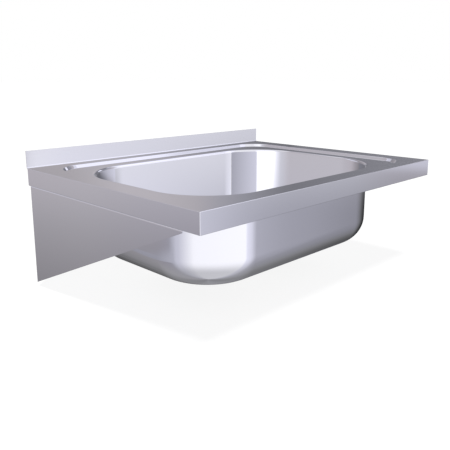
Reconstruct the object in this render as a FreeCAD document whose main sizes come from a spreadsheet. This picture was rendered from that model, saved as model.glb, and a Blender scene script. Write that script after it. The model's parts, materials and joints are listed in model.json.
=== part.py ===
import FreeCAD, Part
import math
import os
import re
import Sketcher

# A wall-mounted stainless steel sink: a folded worktop with a pressed bowl, two side brackets
# and a basket strainer waste.
# X runs to the right, Y towards the wall and Z up. The origin lies on the wall, in the middle of
# the four wall fixings.

doc = FreeCAD.newDocument("WallSink")

# Driving dimensions in millimetres: name, size and meaning
DIMENSIONS = [
    ("deck_width", 600, "worktop, side to side"),
    ("deck_depth", 450, "worktop, wall to front"),
    ("deck_height", 120, "worktop's top above the middle of the wall fixings"),
    ("deck_sheet", 1.2, "worktop's sheet"),
    ("skirt_height", 30, "front and side skirts"),
    ("skirt_lip", 22, "lip turned in under the skirts"),
    ("fold_radius", 0.6, "outside radius of the skirts' folds"),
    ("upstand_height", 30.8, "upstand above the worktop"),
    ("upstand_fold", 2, "cove between worktop and upstand"),
    ("recess_rear", 24, "rim behind the drip recess"),
    ("recess_front", 26.5, "rim in front of the drip recess"),
    ("recess_side", 35.5, "rim at each side of the drip recess"),
    ("recess_drop", 6, "depth of the drip recess"),
    ("recess_run", 3.6, "width of the recess's sloping wall"),
    ("recess_corner", 51, "plan radius of the recess's upper edge"),
    ("recess_fold", 1.4, "radius along the recess's two edges"),
    ("bowl_side", 59, "worktop's side to the bowl's inside"),
    ("bowl_rear", 53.3, "wall to the bowl's inside"),
    ("bowl_front", 55.7, "worktop's front to the bowl's inside"),
    ("bowl_corner", 105, "bowl's plan radius inside"),
    ("bowl_drop", 150.5, "recess floor to the bowl's underside"),
    ("bowl_foot", 50, "radius round the bowl's floor"),
    ("bowl_sheet", 1, "bowl's sheet"),
    ("rim_radius", 5, "rounded rim of the bowl"),
    ("weld_land", 1.5, "flat edge of the bowl that is welded into the worktop"),
    ("bracket_sheet", 1.5, "bracket's sheet"),
    ("bracket_setback", 9, "wall to the bracket's rear edge"),
    ("bracket_front", 33, "worktop's front to the bracket's front end"),
    ("bracket_drop", 178, "bracket below the skirt"),
    ("bracket_nose", 3, "height of the bracket's front end"),
    ("bracket_flange", 28, "width of the bracket's top flange"),
    ("bracket_fold", 1.8, "outside radius of the bracket's folds"),
    ("bracket_toe", 8, "tip of the bracket left below the wall flange"),
    ("step_width", 14, "step from the side plate to the wall flange"),
    ("wall_flange", 30.5, "width of the wall flange"),
    ("fixing_rise", 100, "height between the wall fixings"),
    ("fixing_hole", 9, "wall fixing hole"),
    ("bolt_size", 6, "thread of the bracket bolts"),
    ("bolt_play", 0.6, "bolt hole over the thread"),
    ("bolt_inset", 12.5, "skirt's face to the bolts"),
    ("bolt_first", 70, "wall to the rear bolts"),
    ("bolt_pitch", 230, "rear bolts to front bolts"),
    ("bolt_flats", 10, "bolt head and nut across flats"),
    ("bolt_head", 4, "height of the bolt head"),
    ("bolt_tail", 2.5, "bolt showing below the nut"),
    ("nut_height", 5, "bracket nut"),
    ("washer_width", 12.5, "bracket washer's diameter"),
    ("washer_sheet", 1.6, "bracket washer's thickness"),
    ("pad_width", 320, "damping pad, side to side"),
    ("pad_length", 190, "damping pad, front to back"),
    ("pad_corner", 40, "damping pad's plan radius"),
    ("pad_sheet", 3, "damping pad's thickness"),
    ("pad_gap", 9, "damping pad to the drain dish"),
    ("drain_play", 2.5, "strainer pan to the drain's edge in the bowl"),
    ("dish_play", 4, "strainer pan's flange to the dish pressed round it"),
    ("dish_soft", 0.8, "radius along the dish's edges"),
    ("pan_width", 85, "strainer pan outside"),
    ("pan_brim", 14, "width of the strainer pan's flange"),
    ("pan_sheet", 1, "strainer pan's sheet"),
    ("pan_seat", 17, "flange to the seat of the basket"),
    ("seat_width", 10.5, "width of the basket's seat"),
    ("well_depth", 13, "seat of the basket to the pan's underside"),
    ("pan_rim", 1.4, "rounded rim of the pan"),
    ("pan_hole", 9, "outlet holes in the pan's floor"),
    ("pan_hole_inset", 10.5, "well's wall to the middle of the outlet holes"),
    ("gasket_sheet", 1.4, "gasket under the pan's flange"),
    ("gasket_inset", 2, "edge of the pan's flange to the gasket under it"),
    ("clamp_sheet", 4, "gasket under the bowl's floor"),
    ("cup_brim", 5.5, "width of the underbody's rim"),
    ("cup_rim", 6, "height of the underbody's rim"),
    ("cup_play", 3, "strainer pan to the underbody's wall"),
    ("cup_wall", 3, "underbody's wall"),
    ("cup_fall", 11, "height of the underbody's funnel"),
    ("spigot_width", 47.8, "outlet thread outside"),
    ("spigot_wall", 4.4, "outlet's wall"),
    ("spigot_length", 18, "outlet thread's length"),
    ("rib_sheet", 3, "ribs that carry the boss"),
    ("boss_wall", 3.5, "wall of the boss for the centre bolt"),
    ("insert_wall", 2, "wall of the threaded bush in the boss"),
    ("insert_length", 8, "height of the threaded bush"),
    ("centre_bolt_size", 8, "centre bolt's thread"),
    ("centre_bolt_length", 9, "centre bolt below the pan's floor"),
    ("centre_head_brim", 3.5, "centre bolt's head beyond its thread"),
    ("centre_head_height", 6, "height of the centre bolt's head"),
    ("socket_depth", 5, "socket in the centre bolt's head"),
    ("stem_width", 6, "basket's stem"),
    ("stem_dip", 4, "stem in the centre bolt's socket"),
    ("stem_play", 0.3, "stem to the socket's wall"),
    ("stem_fit", 0.05, "gap round the stem and the bolt in their own pieces"),
    ("seal_play", 4.5, "rubber stopper to the strainer pan's wall"),
    ("seal_sheet", 3, "rubber stopper's thickness"),
    ("seal_soft", 1, "rounded edge of the stopper"),
    ("basket_sheet", 0.8, "basket's sheet"),
    ("basket_play", 1, "basket's rim to the strainer pan's wall"),
    ("basket_taper", 5.5, "how far the basket's wall leans out"),
    ("basket_height", 13, "basket's height"),
    ("basket_lip", 2, "rim turned out round the basket"),
    ("basket_hole", 5, "holes in the basket's floor"),
    ("basket_hole_inset", 10, "edge of the basket's floor to the middle of its holes"),
    ("basket_slot", 4, "width of the slots in the basket's wall"),
    ("basket_slot_rise", 3, "floor to the slots"),
    ("basket_slot_height", 6, "height of the slots"),
    ("clip_brim", 3.5, "width of the push-on clip under the stopper"),
    ("clip_sheet", 1, "thickness of the clip"),
    ("collar_brim", 3, "width of the stem's collar on the basket's floor"),
    ("collar_height", 2, "height of the stem's collar"),
    ("knob_neck_wall", 2.5, "wall of the pull knob's neck"),
    ("knob_brim", 6.5, "pull knob's cap beyond its neck"),
    ("knob_height", 12, "pull knob's height"),
    ("knob_cap", 5.5, "height of the pull knob's cap"),
    ("knob_soft", 2.5, "rounded top of the pull knob"),
    ("overrun", 5, "how far a cut runs past what it cuts"),
    ("slack", 0.01, "places nearer than this count as the same"),
]

sheet = doc.addObject("Spreadsheet::Sheet", "Sizes")
for row, (alias, number, meaning) in enumerate(DIMENSIONS, start=1):
    sheet.set(f"A{row}", meaning)
    sheet.set(f"B{row}", str(number))
    sheet.setAlias(f"B{row}", alias)
doc.recompute()

NAMES = {alias: f"Sizes.{alias}" for alias, number, meaning in DIMENSIONS}
BOWL_WIDTH = "(deck_width - 2 * bowl_side)"
BOWL_LENGTH = "(deck_depth - bowl_rear - bowl_front)"
BOWL_MIDDLE = "((bowl_front - bowl_rear - deck_depth) / 2)"
LOW_DECK = "(deck_height - recess_drop)"
SKIRT_FOOT = "(deck_height - skirt_height)"
FOLD_DEPTH = "(deck_sheet + upstand_fold)"
BOWL_FLOOR = "(deck_height - recess_drop - bowl_drop + bowl_sheet)"
DISH_DROP = "(gasket_sheet + pan_sheet)"
SEAT_TO_FLOOR = "(seal_sheet - pan_seat)"
BOLT_SHANK = "(deck_sheet + bracket_sheet + washer_sheet + nut_height + bolt_tail)"
BRACKET_REACH = "(deck_depth - bracket_front)"
DRAIN_WIDTH = "(pan_width + 2 * drain_play)"
PAN_FLANGE = "(pan_width + 2 * pan_brim)"
PAN_INSIDE = "(pan_width - 2 * pan_sheet)"
PAN_WELL = "(pan_width - 2 * seat_width)"
PAN_DEPTH = "(pan_seat + well_depth)"
DISH_WIDTH = f"({PAN_FLANGE} + 2 * dish_play)"
CUP_BORE = "(pan_width + 2 * cup_play)"
CUP_WIDTH = f"({CUP_BORE} + 2 * cup_wall + 2 * cup_brim)"
SPIGOT_BORE = "(spigot_width - 2 * spigot_wall)"
INSERT_WIDTH = "(centre_bolt_size + 2 * insert_wall)"
BASKET_WIDTH = f"({PAN_INSIDE} - 2 * basket_play - 2 * basket_lip)"
BASKET_FLOOR = f"({BASKET_WIDTH} - 2 * basket_taper)"
SEAL_WIDTH = f"({PAN_INSIDE} - 2 * seal_play)"
KNOB_NECK = "(stem_width + 2 * knob_neck_wall)"

# Counts
PAN_HOLES = 6
CUP_RIBS = 3
BASKET_HOLES = 10
BASKET_SLOTS = 16


def size(formula):
    """Return the value of a formula of dimension names."""
    return float(sheet.evalExpression(formula))


def bound(formula):
    """Return a formula of dimension names as an expression on the sheet."""
    return re.sub("[a-z_]+", lambda word: NAMES.get(word.group(), word.group()), formula)


def bind(thing, name, formula):
    """Tie one property of a document object to a formula of dimension names."""
    thing.setExpression(name, bound(formula))


def new_body(label, x="0", y="0", z="0"):
    """Start a body and place it."""
    body = doc.addObject("PartDesign::Body", label)
    body.Label = label
    for axis, formula in zip("xyz", (x, y, z)):
        bind(body, f"Placement.Base.{axis}", formula)
    return body


def new_sketch(body, name, role, offset="0"):
    """Start a sketch on one of the body's own planes, shifted along that plane's normal."""
    sketch = body.newObject("Sketcher::SketchObject", f"{body.Label}_{name}_sketch")
    planes = {feature.Role: feature for feature in body.Origin.OriginFeatures}
    sketch.AttachmentSupport = [(planes[role], "")]
    sketch.MapMode = "FlatFace"
    bind(sketch, "AttachmentOffset.Base.z", offset)
    return sketch


def measure(sketch, kind, first, second, formula):
    """Add a dimension between two points of a sketch and tie it to a formula."""
    index = sketch.addConstraint(Sketcher.Constraint(kind, *first, *second, size(formula)))
    bind(sketch, f"Constraints[{index}]", formula)


def draw_outline(sketch, points):
    """Draw a closed outline of straight lines through points given as pairs of formulas."""
    origin = (-1, 1)
    first_line = sketch.GeometryCount
    places = [FreeCAD.Vector(size(across), size(along), 0) for across, along in points]
    for place, following in zip(places, places[1:] + places[:1]):
        sketch.addGeometry(Part.LineSegment(place, following), False)
    for index, (across, along) in enumerate(points):
        line = first_line + index
        following = first_line + (index + 1) % len(points)
        sketch.addConstraint(Sketcher.Constraint("Coincident", line, 2, following, 1))
        measure(sketch, "DistanceX", origin, (line, 1), across)
        measure(sketch, "DistanceY", origin, (line, 1), along)


def draw_rounded_rectangle(sketch, width, length, corner, middle="0"):
    """Draw a rounded rectangle with its middle on the sketch's vertical axis."""
    origin = (-1, 1)
    right, radius = size(width) / 2, size(corner)
    bottom, top = size(middle) - size(length) / 2, size(middle) + size(length) / 2
    inner_x, low_y, high_y = right - radius, bottom + radius, top - radius
    corners = [(inner_x, low_y), (inner_x, high_y), (-inner_x, high_y), (-inner_x, low_y)]
    starts = [(-inner_x, bottom), (right, low_y), (inner_x, top), (-right, high_y)]
    ends = [(inner_x, bottom), (right, high_y), (-inner_x, top), (-right, low_y)]
    first = sketch.GeometryCount
    for start, end in zip(starts, ends):
        sketch.addGeometry(Part.LineSegment(FreeCAD.Vector(*start), FreeCAD.Vector(*end)), False)
    for quarter, place in enumerate(corners):
        circle = Part.Circle(FreeCAD.Vector(*place), FreeCAD.Vector(0, 0, 1), radius)
        begin = (quarter - 1) * math.pi / 2
        sketch.addGeometry(Part.ArcOfCircle(circle, begin, begin + math.pi / 2), False)
    for side in range(4):
        line, arc, following = first + side, first + 4 + side, first + (side + 1) % 4
        level = "Vertical" if side % 2 else "Horizontal"
        sketch.addConstraint(Sketcher.Constraint(level, line))
        sketch.addConstraint(Sketcher.Constraint("Tangent", line, 2, arc, 1))
        sketch.addConstraint(Sketcher.Constraint("Tangent", arc, 2, following, 1))
        if side:
            sketch.addConstraint(Sketcher.Constraint("Equal", first + 4, arc))
    measure(sketch, "Radius", (first + 4,), (), corner)
    measure(sketch, "DistanceX", (first + 3, 1), (first + 1, 1), width)
    measure(sketch, "DistanceY", (first, 1), (first + 2, 1), length)
    measure(sketch, "DistanceX", origin, (first + 1, 1), f"{width} / 2")
    measure(sketch, "DistanceY", origin, (first + 2, 1), f"{middle} + ({length}) / 2")


def draw_circle(sketch, width, across="0", along="0"):
    """Draw a circle of a given diameter."""
    origin = (-1, 1)
    place = FreeCAD.Vector(size(across), size(along), 0)
    circle = Part.Circle(place, FreeCAD.Vector(0, 0, 1), size(width) / 2)
    index = sketch.addGeometry(circle, False)
    measure(sketch, "Diameter", (index,), (), width)
    measure(sketch, "DistanceX", origin, (index, 3), across)
    measure(sketch, "DistanceY", origin, (index, 3), along)


def settle(feature):
    """Recompute the document and make sure that a new feature came out."""
    doc.recompute()
    if "Invalid" in feature.State or "Error" in feature.State:
        raise RuntimeError(f"{feature.Name} failed: {feature.State}")
    return feature


def add_feature(body, kind, sketch, length, back=False, both_ways=False):
    """Pad or pocket a sketch: a pad rises along its normal and a pocket goes against it."""
    name = sketch.Name.replace("_sketch", "")
    feature = body.newObject(f"PartDesign::{kind}", name)
    feature.Profile = sketch
    bind(feature, "Length", length)
    feature.Reversed = back
    feature.Midplane = both_ways
    sketch.Visibility = False
    before = 0 if body.Shape.isNull() else body.Shape.Volume
    settle(feature)
    if abs(body.Shape.Volume - before) < size("slack * overrun ^ 2"):
        raise RuntimeError(f"{name} changes nothing")
    return feature


def pad(body, sketch, length, back=False, both_ways=False):
    """Add material along a sketch's normal."""
    return add_feature(body, "Pad", sketch, length, back, both_ways)


def pocket(body, sketch, length, back=False):
    """Cut material against a sketch's normal."""
    return add_feature(body, "Pocket", sketch, length, back)


def revolve(body, sketch):
    """Turn a profile round the sketch's vertical axis."""
    feature = body.newObject("PartDesign::Revolution", sketch.Name.replace("_sketch", ""))
    feature.Profile = sketch
    feature.ReferenceAxis = (sketch, ["V_Axis"])
    feature.Angle = 360
    return settle(feature)


def loft(body, kind, lower, upper):
    """Join two sketches by straight walls."""
    feature = body.newObject(f"PartDesign::{kind}", lower.Name.replace("_sketch", "_loft"))
    feature.Profile = lower
    feature.Sections = [upper]
    feature.Ruled = True
    return settle(feature)


def repeat_round(body, feature, count):
    """Repeat a feature round the body's vertical axis."""
    pattern = body.newObject("PartDesign::PolarPattern", f"{feature.Name}_pattern")
    pattern.Originals = [feature]
    axes = {item.Role: item for item in body.Origin.OriginFeatures}
    pattern.Axis = (axes["Z_Axis"], [""])
    pattern.Angle = 360
    pattern.Occurrences = count
    body.Tip = pattern
    return settle(pattern)


def round_edges(body, name, radius, chosen):
    """Fillet the edges of a body whose boxes pass a test."""
    base = body.Tip
    edges = enumerate(base.Shape.Edges, start=1)
    names = [f"Edge{index}" for index, edge in edges if chosen(edge.BoundBox)]
    feature = body.newObject("PartDesign::Fillet", f"{body.Label}_{name}")
    feature.Base = (base, names)
    bind(feature, "Radius", radius)
    return settle(feature)


def near(value, formula):
    """Say whether a coordinate equals a formula."""
    return abs(value - size(formula)) < size("slack")


def level_at(formula):
    """Make a test for edges that lie flat at a height."""
    return lambda box: near(box.ZMin, formula) and near(box.ZMax, formula)


def bolt_places():
    """Return the four bracket bolts' places as pairs of formulas."""
    reaches = ["- bolt_first", "- (bolt_first + bolt_pitch)"]
    sides = ["- (deck_width / 2 - bolt_inset)", "(deck_width / 2 - bolt_inset)"]
    return [(side, reach) for side in sides for reach in reaches]


def make_worktop():
    """Fold the worktop: skirts with lips, the upstand, the drip recess and the bowl's opening."""
    body = new_body("worktop")
    block = new_sketch(body, "block", "XY_Plane", "deck_height")
    side, front, rear = "(deck_width / 2)", "- deck_depth", f"- {FOLD_DEPTH}"
    draw_outline(block, [(f"- {side}", front), (side, front), (side, rear), (f"- {side}", rear)])
    pad(body, block, "skirt_height", back=True)
    edge_of_block = lambda box: box.YMin < -size(f"{FOLD_DEPTH} + slack")
    round_edges(body, "folds", "fold_radius", edge_of_block)

    hollow = new_sketch(body, "hollow", "XY_Plane", "deck_height - deck_sheet")
    side, front = "(deck_width / 2 - deck_sheet)", "- (deck_depth - deck_sheet)"
    draw_outline(hollow, [(f"- {side}", front), (side, front), (side, "overrun"), (f"- {side}", "overrun")])
    pocket(body, hollow, "skirt_height - 2 * deck_sheet")
    mouth = new_sketch(body, "mouth", "XY_Plane", f"{SKIRT_FOOT} + deck_sheet")
    side, front = "(deck_width / 2 - skirt_lip)", "- (deck_depth - skirt_lip)"
    draw_outline(mouth, [(f"- {side}", front), (side, front), (side, "overrun"), (f"- {side}", "overrun")])
    pocket(body, mouth, "deck_sheet + overrun")

    upstand = new_sketch(body, "upstand", "YZ_Plane")
    draw_upstand(upstand)
    pad(body, upstand, "deck_width", both_ways=True)

    spread = "deck_sheet * (sqrt(1 + (recess_run / recess_drop) ^ 2) - recess_run / recess_drop)"
    loft(body, "AdditiveLoft",
         recess_outline(body, "recess_under", "0", f"({spread})", "deck_sheet"),
         recess_outline(body, "recess_under_floor", "recess_run", f"({spread})", "deck_sheet + recess_drop"))
    loft(body, "SubtractiveLoft",
         recess_outline(body, "recess_top", "0", "0", "0"),
         recess_outline(body, "recess_floor", "recess_run", "0", "recess_drop"))
    half = size("deck_width / 2 - recess_side + slack")
    inside = lambda box: max(box.XMax, -box.XMin) < half
    upper, lower = level_at("deck_height"), level_at(LOW_DECK)
    round_edges(body, "recess_edges", "recess_fold", lambda box: inside(box) and (upper(box) or lower(box)))

    opening = new_sketch(body, "bowl_opening", "XY_Plane", "deck_height")
    draw_rim_outline(opening)
    pocket(body, opening, "recess_drop + deck_sheet + overrun")
    holes = new_sketch(body, "bolt_holes", "XY_Plane", f"{SKIRT_FOOT} + deck_sheet")
    for across, along in bolt_places():
        draw_circle(holes, "bolt_size + bolt_play", across, along)
    pocket(body, holes, "deck_sheet + overrun")
    return body


def draw_upstand(sketch):
    """Draw the upstand's section, with the fold that joins it to the worktop."""
    origin = (-1, 1)
    inner, outer = size("upstand_fold"), size(FOLD_DEPTH)
    deck, top = size("deck_height"), size("deck_height + upstand_height")
    middle = FreeCAD.Vector(-outer, deck + inner, 0)
    upright = FreeCAD.Vector(0, 0, 1)
    under = FreeCAD.Vector(-outer, deck - size("deck_sheet"), 0)
    cove = FreeCAD.Vector(-outer, deck, 0)
    front_foot = FreeCAD.Vector(inner - outer, deck + inner, 0)
    front_top = FreeCAD.Vector(inner - outer, top, 0)
    rear_top = FreeCAD.Vector(0, top, 0)
    rear_foot = FreeCAD.Vector(0, deck + inner, 0)
    quarter = (-math.pi / 2, 0)
    sketch.addGeometry(Part.LineSegment(under, cove), False)
    sketch.addGeometry(Part.ArcOfCircle(Part.Circle(middle, upright, inner), *quarter), False)
    sketch.addGeometry(Part.LineSegment(front_foot, front_top), False)
    sketch.addGeometry(Part.LineSegment(front_top, rear_top), False)
    sketch.addGeometry(Part.LineSegment(rear_top, rear_foot), False)
    sketch.addGeometry(Part.ArcOfCircle(Part.Circle(middle, upright, outer), *quarter), False)
    joints = [("Coincident", 0, 2, 1, 1), ("Tangent", 1, 2, 2, 1), ("Coincident", 2, 2, 3, 1),
              ("Coincident", 3, 2, 4, 1), ("Tangent", 4, 2, 5, 2), ("Coincident", 5, 1, 0, 1),
              ("Coincident", 1, 3, 5, 3), ("Vertical", 0), ("Vertical", 2), ("Horizontal", 3)]
    for joint in joints:
        sketch.addConstraint(Sketcher.Constraint(*joint))
    measure(sketch, "Radius", (1,), (), "upstand_fold")
    measure(sketch, "DistanceX", origin, (0, 1), f"- {FOLD_DEPTH}")
    measure(sketch, "DistanceY", origin, (0, 2), "deck_height")
    measure(sketch, "DistanceX", origin, (4, 1), "0")
    measure(sketch, "DistanceY", origin, (4, 1), "deck_height + upstand_height")


def recess_outline(body, name, inset, spread, depth):
    """Sketch the drip recess's outline at a depth, drawn in by its slope and out by its sheet."""
    sketch = new_sketch(body, name, "XY_Plane", f"deck_height - ({depth})")
    change = f"2 * ({spread} - {inset})"
    draw_rounded_rectangle(
        sketch,
        f"(deck_width - 2 * recess_side + {change})",
        f"(deck_depth - recess_rear - recess_front + {change})",
        f"(recess_corner + {spread} - {inset})",
        "((recess_front - recess_rear - deck_depth) / 2)",
    )
    return sketch


def draw_rim_outline(sketch):
    """Draw the line where the bowl's rim is welded into the worktop."""
    reach = "(rim_radius + weld_land)"
    draw_rounded_rectangle(sketch, f"({BOWL_WIDTH} + 2 * {reach})", f"({BOWL_LENGTH} + 2 * {reach})",
                           f"(bowl_corner + {reach})", BOWL_MIDDLE)


def at_bowl_wall(box):
    """Say whether an edge lies on the bowl's wall, inside its welded rim."""
    half_x = size(f"{BOWL_WIDTH} / 2 + 2 * bowl_sheet")
    half_y = size(f"{BOWL_LENGTH} / 2 + 2 * bowl_sheet")
    middle = size(BOWL_MIDDLE)
    across = max(box.XMax, -box.XMin) < half_x
    return across and max(box.YMax - middle, middle - box.YMin) < half_y


def make_bowl():
    """Press the bowl: a deep shell with a rounded rim, a wide foot radius and a drain dish."""
    body = new_body("bowl")
    rim = new_sketch(body, "rim", "XY_Plane", LOW_DECK)
    draw_rim_outline(rim)
    pad(body, rim, "bowl_sheet", back=True)
    shell = new_sketch(body, "shell", "XY_Plane", LOW_DECK)
    draw_rounded_rectangle(shell, f"({BOWL_WIDTH} + 2 * bowl_sheet)", f"({BOWL_LENGTH} + 2 * bowl_sheet)",
                           "(bowl_corner + bowl_sheet)", BOWL_MIDDLE)
    pad(body, shell, "bowl_drop", back=True)
    hollow = new_sketch(body, "hollow", "XY_Plane", LOW_DECK)
    draw_rounded_rectangle(hollow, BOWL_WIDTH, BOWL_LENGTH, "bowl_corner", BOWL_MIDDLE)
    pocket(body, hollow, "bowl_drop - bowl_sheet")
    underside = f"{BOWL_FLOOR} - bowl_sheet"
    round_edges(body, "inner_foot", "bowl_foot", level_at(BOWL_FLOOR))
    round_edges(body, "outer_foot", "bowl_foot + bowl_sheet", level_at(underside))
    on_top, under_rim = level_at(LOW_DECK), level_at(f"{LOW_DECK} - bowl_sheet")
    round_edges(body, "outer_rim", "rim_radius - bowl_sheet",
                lambda box: under_rim(box) and at_bowl_wall(box))
    round_edges(body, "inner_rim", "rim_radius", lambda box: on_top(box) and at_bowl_wall(box))

    dish = new_sketch(body, "dish", "XY_Plane", underside)
    draw_circle(dish, f"{DISH_WIDTH} + 2 * bowl_sheet", "0", BOWL_MIDDLE)
    pad(body, dish, DISH_DROP, back=True)
    dish_hollow = new_sketch(body, "dish_hollow", "XY_Plane", BOWL_FLOOR)
    draw_circle(dish_hollow, DISH_WIDTH, "0", BOWL_MIDDLE)
    pocket(body, dish_hollow, DISH_DROP)
    in_dish = lambda box: near(box.XMax - box.XMin, DISH_WIDTH)
    dish_edge = level_at(BOWL_FLOOR)
    round_edges(body, "dish_edge", "dish_soft", lambda box: dish_edge(box) and in_dish(box))
    drain = new_sketch(body, "drain_hole", "XY_Plane", BOWL_FLOOR)
    draw_circle(drain, DRAIN_WIDTH, "0", BOWL_MIDDLE)
    pocket(body, drain, f"{DISH_DROP} + bowl_sheet + overrun")
    return body


def make_left_bracket():
    """Fold the left bracket: side plate, top flange and a stepped flange against the wall."""
    body = new_body("left_bracket")
    face, rear, front = "(- deck_width / 2)", "- bracket_setback", f"- {BRACKET_REACH}"
    plate = new_sketch(body, "plate", "YZ_Plane", face)
    draw_outline(plate, [(rear, SKIRT_FOOT), (front, SKIRT_FOOT), (front, f"{SKIRT_FOOT} - bracket_nose"),
                         (rear, f"{SKIRT_FOOT} - bracket_drop")])
    pad(body, plate, "bracket_sheet")
    flange = new_sketch(body, "flange", "XY_Plane", SKIRT_FOOT)
    draw_outline(flange, [(face, rear), (face, front),
                          (f"{face} + bracket_flange", f"bracket_flange - {BRACKET_REACH}"),
                          (f"{face} + bracket_flange", rear)])
    pad(body, flange, "bracket_sheet", back=True)
    step = new_sketch(body, "step", "XY_Plane", SKIRT_FOOT)
    web, inner_web = f"{face} + step_width", f"{face} + step_width + bracket_sheet"
    tip = f"{face} + step_width + wall_flange"
    draw_outline(step, [(face, rear), (web, rear), (web, "0"), (tip, "0"), (tip, "- bracket_sheet"),
                        (inner_web, "- bracket_sheet"), (inner_web, f"{rear} - bracket_sheet"),
                        (face, f"{rear} - bracket_sheet")])
    pad(body, step, "bracket_drop - bracket_toe", back=True)
    on_face = lambda box: near(box.XMin, face) and near(box.XMax, face)
    along_top = lambda box: near(box.ZMin, SKIRT_FOOT)
    up_rear = lambda box: near(box.YMin, rear) and near(box.YMax, rear)
    round_edges(body, "folds", "bracket_fold", lambda box: on_face(box) and (along_top(box) or up_rear(box)))

    fixings = new_sketch(body, "fixing_holes", "XZ_Plane")
    middle = f"{face} + step_width + (wall_flange + bracket_sheet) / 2"
    for rise in ("- fixing_rise / 2", "fixing_rise / 2"):
        draw_circle(fixings, "fixing_hole", middle, rise)
    pocket(body, fixings, "bracket_sheet + overrun", back=True)
    holes = new_sketch(body, "bolt_holes", "XY_Plane", SKIRT_FOOT)
    for across, along in bolt_places()[:2]:
        draw_circle(holes, "bolt_size + bolt_play", across, along)
    pocket(body, holes, "bracket_sheet + overrun")
    return body


def make_right_bracket(left):
    """Mirror the left bracket."""
    mirror = doc.addObject("Part::Mirroring", "right_bracket")
    mirror.Label = "right_bracket"
    mirror.Source = left
    mirror.Normal = FreeCAD.Vector(1, 0, 0)
    return mirror


def spread_out(label, original, level):
    """Put a copy of one fastener at each bracket bolt, as one group."""
    copies = []
    for across, along in bolt_places():
        copy = doc.addObject("App::Link", f"{label}_copy")
        copy.LinkedObject = original
        for axis, formula in zip("xyz", (across, along, level)):
            bind(copy, f"Placement.Base.{axis}", formula)
        copies.append(copy)
    group = doc.addObject("Part::Compound", label)
    group.Label = label
    group.Links = copies
    return group


def make_hexagon(name, height):
    """Make a hexagonal prism across the bolts' flats."""
    prism = doc.addObject("Part::Prism", name)
    prism.Polygon = 6
    bind(prism, "Circumradius", "bolt_flats / sqrt(3)")
    bind(prism, "Height", height)
    return prism


def make_cylinder(name, width, height, z="0"):
    """Make a cylinder that stands at a height on its own axis."""
    cylinder = doc.addObject("Part::Cylinder", name)
    bind(cylinder, "Radius", f"({width}) / 2")
    bind(cylinder, "Height", height)
    bind(cylinder, "Placement.Base.z", z)
    return cylinder


def make_cut(name, base, tool):
    """Cut one shape out of another."""
    cut = doc.addObject("Part::Cut", name)
    cut.Base = base
    cut.Tool = tool
    return cut


def make_bracket_bolts():
    """Make the hexagon bolts that stand in the lips with their threads down."""
    bolt = doc.addObject("Part::Fuse", "bolt")
    bolt.Base = make_hexagon("bolt_hexagon", "bolt_head")
    bolt.Tool = make_cylinder("bolt_shank", "bolt_size", BOLT_SHANK, f"- {BOLT_SHANK}")
    return spread_out("bracket_bolts", bolt, f"{SKIRT_FOOT} + deck_sheet")


def make_bracket_washers():
    """Make the washers under the brackets' flanges."""
    disc = make_cylinder("washer_disc", "washer_width", "washer_sheet")
    hole = make_cylinder("washer_hole", "bolt_size + bolt_play", "washer_sheet")
    washer = make_cut("washer", disc, hole)
    return spread_out("bracket_washers", washer, f"{SKIRT_FOOT} - bracket_sheet - washer_sheet")


def make_bracket_nuts():
    """Make the nuts under the washers."""
    hole = make_cylinder("nut_hole", "bolt_size + 2 * stem_fit", "nut_height")
    nut = make_cut("nut", make_hexagon("nut_hexagon", "nut_height"), hole)
    return spread_out("bracket_nuts", nut, f"{SKIRT_FOOT} - bracket_sheet - washer_sheet - nut_height")


def make_sound_pad():
    """Cut the damping pad that is stuck under the bowl, round the drain."""
    body = new_body("sound_pad", "0", BOWL_MIDDLE, f"{BOWL_FLOOR} - bowl_sheet")
    outline = new_sketch(body, "outline", "XY_Plane")
    draw_rounded_rectangle(outline, "pad_width", "pad_length", "pad_corner")
    draw_circle(outline, f"{DISH_WIDTH} + 2 * (bowl_sheet + pad_gap)")
    pad(body, outline, "pad_sheet", back=True)
    return body


def waste_body(label):
    """Start a body on the drain's axis, with its own zero at the bowl's floor."""
    return new_body(label, "0", BOWL_MIDDLE, BOWL_FLOOR)


def turned(label, points):
    """Make a turned piece of the waste from its section."""
    body = waste_body(label)
    section = new_sketch(body, "section", "XZ_Plane")
    draw_outline(section, points)
    revolve(body, section)
    return body


def ring(label, bore, width, low, high):
    """Make a flat ring of the waste."""
    return turned(label, [(f"({bore}) / 2", low), (f"({width}) / 2", low),
                          (f"({width}) / 2", high), (f"({bore}) / 2", high)])


def make_strainer_pan():
    """Press the flanged pan, with the basket's seat, a well below it and the outlet holes."""
    edge, outside, inside = f"{PAN_FLANGE} / 2", "pan_width / 2", f"{PAN_INSIDE} / 2"
    well, bolt = f"{PAN_WELL} / 2", "(centre_bolt_size / 2 + stem_fit)"
    ledge, foot, floor = "- pan_seat - pan_sheet", f"- {PAN_DEPTH}", f"pan_sheet - {PAN_DEPTH}"
    body = turned("strainer_pan", [
        (edge, "0"), (edge, "- pan_sheet"), (outside, "- pan_sheet"), (outside, ledge), (well, ledge),
        (well, foot), (bolt, foot), (bolt, floor), (f"{well} - pan_sheet", floor),
        (f"{well} - pan_sheet", "- pan_seat"), (inside, "- pan_seat"), (inside, "0")])
    on_top = level_at("0")
    at_mouth = lambda box: near(box.XMax, inside)
    round_edges(body, "rim", "pan_rim", lambda box: on_top(box) and at_mouth(box))
    hole = new_sketch(body, "outlet_hole", "XY_Plane", floor)
    draw_circle(hole, "pan_hole", f"{well} - pan_sheet - pan_hole_inset")
    repeat_round(body, pocket(body, hole, "pan_sheet + overrun"), PAN_HOLES)
    return body


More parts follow.
